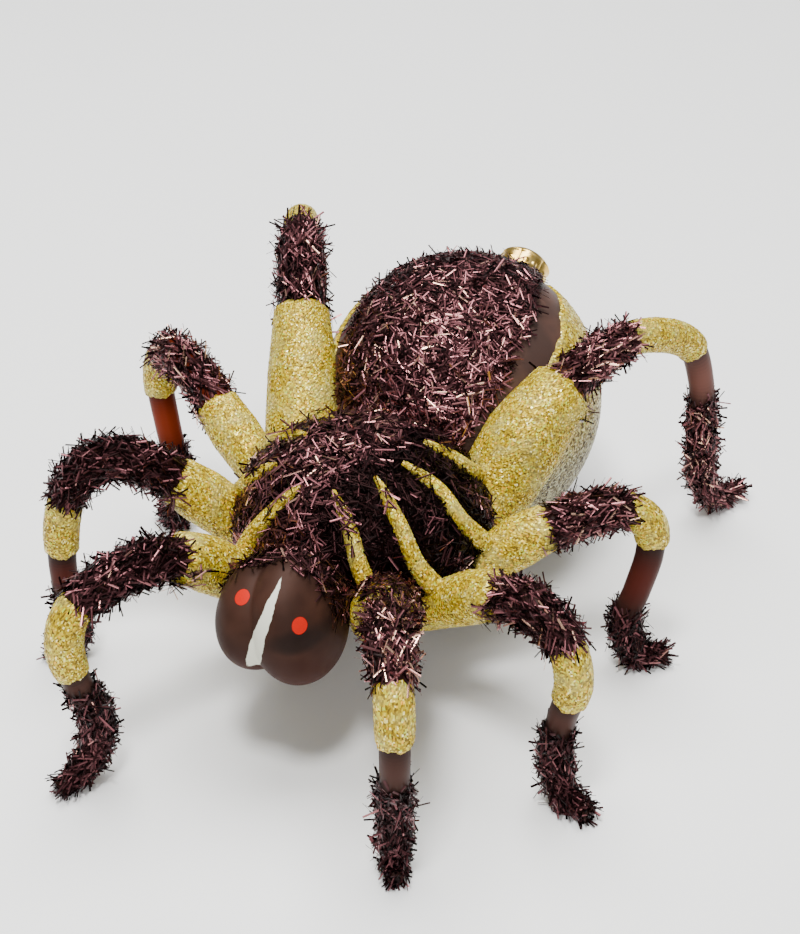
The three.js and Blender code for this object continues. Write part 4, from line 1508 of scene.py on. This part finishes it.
@dataclass
class Abdomen:
    """The rear bulb: brown glass under a tinsel saddle, glitter flanks and a tinsel belly.

    Attributes:
        centre: Middle of the bulb.
        radius: Its greatest radius about its axis.
        half_length: Half its length along the axis.
        tilt: How far the axis rises towards the rear, in degrees.
        neck_radius: Radius of the neck.
        neck_end: How far along the axis the neck ends.
        saddle: Rolls about the axis that the saddle lies between, in degrees from the top.
        left: The same for the left flank.
        right: The same for the right flank.
        belly: The same for the belly.
        coat_end: Latitude where every coat ends, in degrees.
        strip_end: Latitude where the strips end.
        grain: Direction that the strips are laid square to.
        saddle_count: Strips on the saddle.
        belly_count: Strips on the belly.
        flank_flake: Width of a flake on the flanks.
        flank_lift: How far the flanks' glitter stands above the glass.
        flank_ragged: How far the flanks' borders wander.
        under_cell: Width of a face of the coat under the tinsel.
        under_ragged: How far that coat's borders wander.
        strip_ragged: How far the borders of the strips wander, in radians.
        painted_glint: Share of strips painted bright as highlights to the rear, and what the front, which
            faces the lamps, has more.
        front_glint_latitudes: Latitudes between which the front's extra painted highlights begin.
        shade: Factor on the strips' tones.
    """

    centre: tuple[float, float, float] = (-0.6, 42.2, 37.1)
    radius: float = 33.6
    half_length: float = 35.2
    tilt: float = 22.2
    neck_radius: float = 5.0
    neck_end: float = 43.2
    saddle: tuple[float, float] = (-43.0, 33.5)
    left: tuple[float, float] = (48.0, 135.0)
    right: tuple[float, float] = (-135.0, -54.0)
    belly: tuple[float, float] = (150.0, 210.0)
    coat_end: float = 68.0
    strip_end: float = 64.0
    grain: tuple[float, float, float] = (0.8, 0.2, 0.5)
    saddle_count: int = 8800
    belly_count: int = 1800
    flank_flake: float = 0.48
    flank_lift: float = 0.65
    flank_ragged: float = 0.9
    under_cell: float = 1.6
    under_ragged: float = 1.0
    strip_ragged: float = 0.04
    painted_glint: tuple[float, float] = (0.02, 0.07)
    front_glint_latitudes: tuple[float, float] = (0.35, 0.0)
    shade: float = 0.92

    def place(self, roll: Array, reach: Array, along: Array) -> Array:
        """Points from roll about the axis, distance off it and distance along it."""
        roll, reach, along = np.broadcast_arrays(roll, reach, along)
        turn = math.radians(self.tilt)
        above = reach * np.cos(roll)
        return np.stack(
            [
                self.centre[0] + reach * np.sin(roll),
                self.centre[1] + along * math.cos(turn) - above * math.sin(turn),
                self.centre[2] + along * math.sin(turn) + above * math.cos(turn),
            ],
            axis=-1,
        )

    def skin(self, roll: Array, latitude: Array, grow: Array | float = 0.0) -> Array:
        """Points of the bulb: off the axis R cos v, along it L sin v, for latitude v."""
        reach = (self.radius + grow) * np.cos(latitude)
        return self.place(roll, reach, (self.half_length + grow) * np.sin(latitude))

    def outward(self, roll: Array, latitude: Array) -> Array:
        """Outward unit vectors of the bulb."""
        tip = self.place(roll, np.cos(latitude) / self.radius, np.sin(latitude) / self.half_length)
        return unit(tip - np.array(self.centre))

    def build(self, finishes: Finishes) -> None:
        """Make the bulb and its coats."""
        self._bulb(finishes)
        self._tinsel("tinsel_saddle", "saddle", "abdomen_tinsel", self.saddle, SADDLE_EDGES,
                     self.saddle_count, finishes)
        self._flank("glitter_flank_left", "abdomen_glitter_left", self.left, finishes)
        self._flank("glitter_flank_right", "abdomen_glitter_right", self.right, finishes)
        self._tinsel("tinsel_belly", "belly", "abdomen_belly_tinsel", self.belly, (0.0, 0.0),
                     self.belly_count, finishes)

    def _bulb(self, finishes: Finishes) -> None:
        """The glass bulb and its neck, turned about the tilted axis."""
        latitude = np.radians(np.linspace(-89.0, 76.0, 84))
        reach = self.radius * np.cos(latitude)
        along = self.half_length * np.sin(latitude)
        neck = np.linspace(0.0, 1.0, 14)[1:]
        ease = smoothstep(0.0, 0.35, neck)
        reach = np.concatenate([reach, reach[-1] + (self.neck_radius - reach[-1]) * ease])
        along = np.concatenate([along, along[-1] + (self.neck_end - along[-1]) * neck])
        mesh = PieceMesh()
        mesh.add_tube(self.place(ring_angles(96), reach[:, None], along[:, None]))
        mesh.piece("rear_body_glass", ["abdomen"], finishes.glass, True)

    def _patch(self, mesh: PieceMesh, span: tuple[float, float], grow: float, cell: float, ragged: float,
               tone: float | None, rng: np.random.Generator) -> None:
        """A coat between two rolls, with uneven borders.

        Args:
            mesh: Mesh that receives the coat.
            span: The rolls, in degrees.
            grow: How far it lies above the glass.
            cell: Width of its faces.
            ragged: How far its borders wander.
            tone: Tone of every face, or none for a rough coat of flakes.
            rng: Source of chance.
        """
        first, last = np.radians(span)
        end = math.radians(self.coat_end)
        columns = int((last - first) * self.radius / cell)
        rows = int(2 * end * self.half_length / cell)
        latitude = np.radians(np.linspace(-self.coat_end, self.coat_end, rows))[:, None]
        latitude = latitude + np.zeros((1, columns))
        share = np.linspace(0.0, 1.0, columns)[None, :]
        start = first + ragged * waves(latitude * BORDER_WAVES, 1.0 + span[0]) / self.radius
        stop = last + ragged * waves(latitude * BORDER_WAVES, 2.0 + span[1]) / self.radius
        roll = start + (stop - start) * share
        inside = np.minimum(np.minimum(share, 1 - share) * (last - first) * self.radius,
                            np.minimum(latitude + end, end - latitude) * self.half_length)
        lift = -COAT_SINK + (grow + COAT_SINK) * np.sqrt(smoothstep(0.0, COAT_TAPER, inside))
        jitter = FLAKES.loose * cell / self.radius
        loose = (inside > COAT_BORDER).astype(float)
        latitude = latitude + loose * rng.uniform(-jitter, jitter, latitude.shape)
        roll = roll + loose * rng.uniform(-jitter, jitter, roll.shape) / np.maximum(np.cos(latitude), 0.3)
        rough = FLAKES.rough if tone is None else 0.0
        outer = self.skin(roll, latitude, lift + loose * rng.normal(0.0, 1.0, roll.shape) * rough)
        inner = self.skin(roll, latitude, -COAT_DEPTH)
        tones = FLAKES.tones((rows - 1) * (columns - 1), rng) if tone is None else tone
        mesh.add_sheet(outer, inner, tones)

    def _flank(self, name: str, node: str, span: tuple[float, float], finishes: Finishes) -> None:
        """A glitter flank."""
        mesh = PieceMesh()
        self._patch(mesh, span, self.flank_lift, self.flank_flake, self.flank_ragged, None, rng_for(name))
        mesh.piece(name, [node], finishes.shaded_glitter, False)

    def _tinsel(self, name: str, seed: str, node: str, span: tuple[float, float],
                edges: tuple[float, float], count: int, finishes: Finishes) -> None:
        """A tinsel coat: a dark under-coat, painted shade between the strips, with strips strewn over it.

        Args:
            name: Name of the piece.
            seed: Name that its chance starts from.
            node: CAD node it stands for.
            span: Rolls that it lies between, in degrees.
            edges: What the under-coat's two rolls have more.
            count: How many strips.
            finishes: The materials.
        """
        rng = rng_for(seed)
        mesh = PieceMesh()
        under = (span[0] + edges[0], span[1] + edges[1])
        self._patch(mesh, under, UNDER_COAT, self.under_cell, self.under_ragged, UNDER_SHADE_TONE, rng)
        self._strew(mesh, span, count, rng)
        mesh.piece(name, [node], finishes.tinsel, False)

    def _strew(self, mesh: PieceMesh, span: tuple[float, float], count: int,
               rng: np.random.Generator) -> None:
        """Strips over a stretch of rolls, evenly by area, with a loose border."""
        end = math.sin(math.radians(self.strip_end))
        latitude = np.arcsin(rng.uniform(-end, end, count))
        first = np.radians(span[0]) + self.strip_ragged * waves(latitude * BORDER_WAVES, 3.0)
        last = np.radians(span[1]) + self.strip_ragged * waves(latitude * BORDER_WAVES, 5.0)
        roll = first + (last - first) * rng.random(count)
        normals = self.outward(roll, latitude)
        along = unit(np.cross(normals, self.grain))
        footing = Footing(self.skin(roll, latitude, STRIP_LIFT), normals, along)
        # Painted highlights, more of them on the front that faces the lamps.
        rear, front = self.painted_glint
        painted_glint = rear + front * smoothstep(*self.front_glint_latitudes, latitude)
        BULB_STRIPS.strew(mesh, footing, rng, painted_glint, self.shade)


@dataclass
class Cap:
    """The gold ornament cap on the bulb's neck: six fluted lobes with raised dots.

    Attributes:
        abdomen: The bulb whose axis it stands on.
        radius: Radius of its skirt.
        wall: Half of what its inner radius is less.
        skirt_end: Where the skirt ends, along the axis.
        rim: Where the skirt turns in.
        top: Where its flat top is.
        least: Radius of the smallest ring at the middle of the top.
        lobes: Number of lobes.
        depth: How far the lobes stand out.
        dots: Places of the dots on a lobe, along the axis and sideways.
        dot_height: How far a dot stands out.
        dot_radius: Radius of a dot.
    """

    abdomen: Abdomen
    radius: float = 6.4
    wall: float = 0.5
    skirt_end: float = 37.8
    rim: float = 43.8
    top: float = 44.6
    least: float = 0.3
    lobes: int = 6
    depth: float = 0.35
    dots: tuple[tuple[float, float], ...] = ((39.2, 0.0), (40.9, -1.25), (40.9, 1.25))
    dot_height: float = 0.28
    dot_radius: float = 0.62

    def build(self, finishes: Finishes) -> None:
        """Make the cap as one closed surface: inside, skirt, crown and lid."""
        turn = ring_angles(216)
        inner = self.radius - 2 * self.wall
        ceiling = self.rim - 0.3
        inside = self.abdomen.place(turn, np.array([[self.least], [inner], [inner]]),
                                    np.array([[ceiling], [ceiling], [self.skirt_end]]))
        skirt = self._wall(np.linspace(self.skirt_end, self.rim, 36)[:, None], turn)
        edge = np.linspace(0.0, 1.0, 6)[1:, None]
        reach = self.radius - 0.1 - 0.7 * edge
        rise = self.rim + (self.top - self.rim) * np.sin(edge * math.pi / 2)
        crown = self.abdomen.place(turn, reach, rise)
        lid = self.abdomen.place(turn, np.linspace(reach[-1], self.least, 8)[1:], self.top)
        mesh = PieceMesh()
        mesh.add_tube(np.concatenate([inside, skirt, crown, lid]))
        mesh.piece("gold_cap_shell", ["cap"], finishes.gold, True)

    def _wall(self, height: Array, turn: Array) -> Array:
        """The skirt: radius plus lobes by the root of |sin 3a|, dots on each lobe and a raised rim."""
        flute = self.depth * np.sqrt(np.abs(np.sin(self.lobes / 2 * turn)))
        reach = self.radius - 0.25 + flute
        pitch = FULL_TURN / self.lobes
        centre = (np.floor(turn / pitch) + 0.5) * pitch
        for rise, lean in self.dots:
            away = np.hypot((turn - centre) * self.radius - lean, height - rise)
            reach = reach + self.dot_height * np.exp(-((away / self.dot_radius) ** 4))
        reach = reach + 0.25 * np.exp(-(((height - self.rim + 0.4) / 0.35) ** 2))
        return self.abdomen.place(turn, reach, height)


@dataclass(frozen=True)
class Lobe:
    """One ellipsoid of the head, turned about the Y axis.

    Attributes:
        centre: Its middle.
        radii: Its half sizes before it is turned.
        swing: The turn, in degrees.
    """

    centre: tuple[float, float, float]
    radii: tuple[float, float, float]
    swing: float

    def exit(self, origin: Array, ways: Array) -> Array:
        """Distance from an inner point to the lobe's skin along unit directions."""
        turn = math.radians(self.swing)
        cosine, sine = math.cos(turn), math.sin(turn)
        back = np.array([[cosine, 0, -sine], [0, 1, 0], [sine, 0, cosine]])
        start = back @ (origin - np.array(self.centre)) / np.array(self.radii)
        ray = (ways @ back.T) / np.array(self.radii)
        a = np.sum(ray * ray, axis=-1)
        b = ray @ start
        return (-b + np.sqrt(b * b - a * (start @ start - 1.0))) / a


@dataclass
class Head:
    """Two glass lobes that meet in a groove.

    Attributes:
        middle: A point inside both lobes.
        lobes: The lobes.
        soft: Width over which the groove is eased.
        fringe_edge: y where the tinsel over its rear begins to thin out.
        fringe_reach: How far the thinning runs forwards.
        fringe_foot: Height that this tinsel keeps above.
        combed: Direction that it is combed in.
    """

    middle: tuple[float, float, float] = (-1.2, -51.5, 38.6)
    lobes: tuple[Lobe, ...] = (
        Lobe((3.0, -51.5, 39.1), (9.6, 13.6, 14.5), -14.0),
        Lobe((-5.2, -51.5, 38.2), (9.4, 13.6, 12.1), 0.0),
    )
    soft: float = 0.25
    fringe_edge: float = -50.0
    fringe_reach: float = 3.5
    fringe_foot: float = 40.0
    combed: tuple[float, float, float] = (0.1, -0.95, -0.2)

    def skin(self, ways: Array) -> Array:
        """Points along unit directions: the farther lobe, eased where the lobes meet."""
        middle = np.array(self.middle)
        first, second = (lobe.exit(middle, ways) for lobe in self.lobes)
        reach = 0.5 * (first + second + np.sqrt((first - second) ** 2 + self.soft**2))
        return middle + ways * reach[..., None]

    def crown(self, count: int, rng: np.random.Generator) -> Footing:
        """Points over the rear of the head's top, thinning out forwards."""
        ways = unit(rng.normal(0.0, 1.0, (count * 12, 3)))
        points = self.skin(ways)
        edge = self.fringe_edge - self.fringe_reach * np.abs(rng.normal(0.0, 0.5, len(points)))
        kept = np.flatnonzero((points[:, 1] > edge) & (points[:, 2] > self.fringe_foot))[:count]
        forward = np.broadcast_to(np.array(self.combed), (len(kept), 3))
        normals = unit(ways[kept])
        along = unit(forward - normals * np.sum(forward * normals, axis=1, keepdims=True))
        return Footing(points[kept], normals, along)

    def build(self, finishes: Finishes) -> None:
        """Make the head as one closed surface."""
        mesh = PieceMesh()
        mesh.add_tube(self.skin(globe(0.02, math.pi - 0.02, 120, 180))[::-1])
        mesh.piece("head_lobes", ["head"], finishes.head, True)


LEGS = (
    Leg(
        name="l1", root=(17.0, -39.5), bearing=-61.7,
        arch=((0, 36), (12, 46), (24, 51), (34, 51), (41, 46), (43, 37), (42, 27), (39.7, 15),
              (40.6, 2.8), (45, 2.4)),
        bands=(19.0, 43.5, 56.0, 66.0),
        rib=((1.8, -30.2), (7.0, -34.6), (11.0, -38.0)),
        coxa=(7.2, 7.2, 5.3), painted_light=(0.14, 1.2), collar=680,
    ),
    Leg(
        name="l2", root=(27.0, -28.5), bearing=-21.6,
        arch=((0, 34.5), (13, 44), (25.5, 48), (34, 44.5), (37.3, 36), (34.7, 24), (33.5, 14),
              (36, 3.5), (44, 2.4)),
        bands=(20.5, 40.5, 55.0, 62.5),
        rib=((8.9, -23.6), (16.0, -28.7), (21.2, -30.8)),
    ),
    Leg(
        name="l3", root=(30.0, -10.5), bearing=32.4,
        arch=((0, 35), (10.5, 41.5), (20.5, 45), (29.5, 45.8), (35.5, 40.5), (36, 33), (33.8, 22.5),
              (31.6, 13.7), (35, 3.3), (42, 2.8)),
        bands=(15.5, 33.0, 45.6, 63.5),
        rib=((12.5, -15.5), (19.6, -15.8), (24.8, -16.8)),
        glass=Glass.RED, painted_light=(0.10, 0.95),
    ),
    Leg(
        name="l4", root=(22.0, 7.5), bearing=62.3,
        arch=((0, 38), (13, 52.5), (26, 61.5), (38, 64.5), (50, 62), (61, 55), (66, 43), (68, 27),
              (70, 11), (76.5, 3.2), (84.5, 2.6)),
        bands=(30.5, 51.0, 76.0, 91.0),
        rib=((12.6, -4.1), (16.4, -3.2), (19.6, -1.7)),
        coxa=(9.0, 9.6, 7.4), glass=Glass.RUSSET, painted_light=(0.13, 1.05), foot_light_paint=(0.02, 1.1),
    ),
    Leg(
        name="r1", root=(-18.0, -40.5), bearing=-115.2,
        arch=((0, 35.5), (12.5, 46.5), (22.3, 50.5), (34.6, 50.5), (42, 46.5), (44.2, 39.2), (42, 28),
              (38.6, 17), (39.4, 9), (44.8, 3.3), (49.8, 2.4)),
        bands=(20.0, 46.0, 64.0, 68.0),
        rib=((-8.8, -30.7), (-13.9, -35.5), (-16.0, -36.3)),
        coxa=(5.8, 6.3, 5.6), painted_light=(0.05, 0.72),
    ),
    Leg(
        name="r2", root=(-28.0, -24.5), bearing=-149.2,
        arch=((0, 38), (9, 46.5), (17.2, 53), (26, 56), (33, 52), (37.2, 42), (38.6, 30), (38.5, 21),
              (37.4, 11), (38.8, 3.0), (44.5, 2.3)),
        bands=(17.0, 48.0, 63.0, 73.0),
        rib=((-18.5, -23.5), (-22.5, -24.2), (-25.0, -24.4)),
        coxa=(6.0, 6.3, 5.4), glass=Glass.RED, painted_light=(0.03, 0.68),
    ),
    Leg(
        name="r3", root=(-31.0, -6.5), bearing=153.7,
        arch=((0, 40), (12.4, 46.5), (21.6, 52), (31, 54.5), (37.4, 51), (40, 42), (38, 31), (36, 22.8),
              (36, 12), (36.3, 3.1), (42.8, 2.3)),
        bands=(18.5, 42.0, 55.0, 68.0),
        rib=((-16.0, -13.0), (-21.5, -11.5), (-26.0, -9.5)),
        glass=Glass.AMBER, painted_light=(0.12, 1.0),
    ),
    Leg(
        name="r4", root=(-27.0, 9.5), bearing=116.6,
        arch=((0, 38), (14, 50.5), (28, 61.5), (41, 68.5), (53, 67.5), (62.5, 58.5), (67.5, 46), (70, 28),
              (71.5, 12), (75.5, 3.3), (82, 2.5)),
        bands=(33.0, 56.0, 79.0, 94.0),
        rib=((-13.5, -4.0), (-17.5, -2.0), (-20.5, 0.5)),
        coxa=(9.2, 8.3, 6.5), thigh_radii=(5.7, 5.6, 5.3, 4.7),
    ),
)


@dataclass(frozen=True)
class Lamp:
    """A square lamp that faces a point, in metres.

    Attributes:
        name: Name of the lamp.
        place: Where it is.
        aim: The point that it faces.
        size: Length of its side.
        watts: Its power.
    """

    name: str
    place: tuple[float, float, float]
    aim: tuple[float, float, float]
    size: float
    watts: float

    def build(self) -> None:
        """Put the lamp in the scene."""
        data = bpy.data.lights.new(self.name, "AREA")
        data.size = self.size
        data.energy = self.watts
        lamp = bpy.data.objects.new(self.name, data)
        lamp.location = self.place
        lamp.rotation_euler = (Vector(self.aim) - Vector(self.place)).to_track_quat("-Z", "Y").to_euler()
        bpy.context.scene.collection.objects.link(lamp)


@dataclass
class Studio:
    """Floor, light and camera, as the photo has them.

    Attributes:
        target: The point that the camera faces.
        position: Where the camera is.
        lens: Focal length of the camera.
        sensor: Width of its sensor.
        floor_half: Half the side of the floor, in metres.
        sky: Colour of the sky.
        sky_strength: Its brightness.
        lamps: The lamps.
    """

    target: tuple[float, float, float] = (-11.906, 31.5, 20.0)
    position: tuple[float, float, float] = (168.0, -357.0, 326.1)
    lens: float = 81.94
    sensor: float = 36.0
    floor_half: float = 2.5
    sky: Colour = (0.80, 0.82, 0.84)
    sky_strength: float = 0.32
    lamps: tuple[Lamp, ...] = (
        Lamp("overhead", place=(-0.12, 0.18, 0.92), aim=(0.0, -0.02, 0.0), size=0.66, watts=16.4),
        Lamp("key", place=(0.05, -0.30, 0.80), aim=(0.0, 0.0, 0.03), size=0.14, watts=6.0),
        Lamp("fill", place=(0.36, -0.56, 0.42), aim=(0.0, 0.0, 0.03), size=0.40, watts=1.9),
    )

    def build(self, finishes: Finishes) -> None:
        """Place everything around the ornament."""
        self._floor(finishes)
        for lamp in self.lamps:
            lamp.build()
        self._world()
        self._camera()

    def _floor(self, finishes: Finishes) -> None:
        """A wide sheet of paper under the feet."""
        mesh = bpy.data.meshes.new("paper_sheet")
        half = self.floor_half
        corners = [(-half, -half, 0), (half, -half, 0), (half, half, 0), (-half, half, 0)]
        mesh.from_pydata(corners, [], [(0, 1, 2, 3)])
        mesh.materials.append(finishes.paper)
        sheet = bpy.data.objects.new("paper_sheet", mesh)
        bpy.context.scene.collection.objects.link(sheet)

    def _world(self) -> None:
        """A pale even sky."""
        world = bpy.data.worlds.new("pale_sky")
        world.use_nodes = True
        sky = world.node_tree.nodes["Background"]
        sky.inputs["Color"].default_value = (*self.sky, 1.0)
        sky.inputs["Strength"].default_value = self.sky_strength
        bpy.context.scene.world = world

    def _camera(self) -> None:
        """The photo's camera."""
        data = bpy.data.cameras.new("photo_camera")
        data.lens = self.lens
        data.sensor_width = self.sensor
        camera = bpy.data.objects.new("photo_camera", data)
        camera.location = Vector(self.position) * MM
        aim = (Vector(self.target) - Vector(self.position)).to_track_quat("-Z", "Y")
        camera.rotation_euler = aim.to_euler()
        bpy.context.scene.collection.objects.link(camera)
        bpy.context.scene.camera = camera


def main() -> None:
    """Build the ornament in order."""
    logging.basicConfig(level=logging.INFO, format="%(message)s")
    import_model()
    finishes = Finishes()
    abdomen = Abdomen()
    abdomen.build(finishes)
    Cap(abdomen).build(finishes)
    carapace = Carapace()
    for leg in LEGS:
        leg.build(carapace, finishes)
    head = Head()
    carapace.build(head, finishes)
    head.build(finishes)
    Studio().build(finishes)


if __name__ == "__main__":
    main()
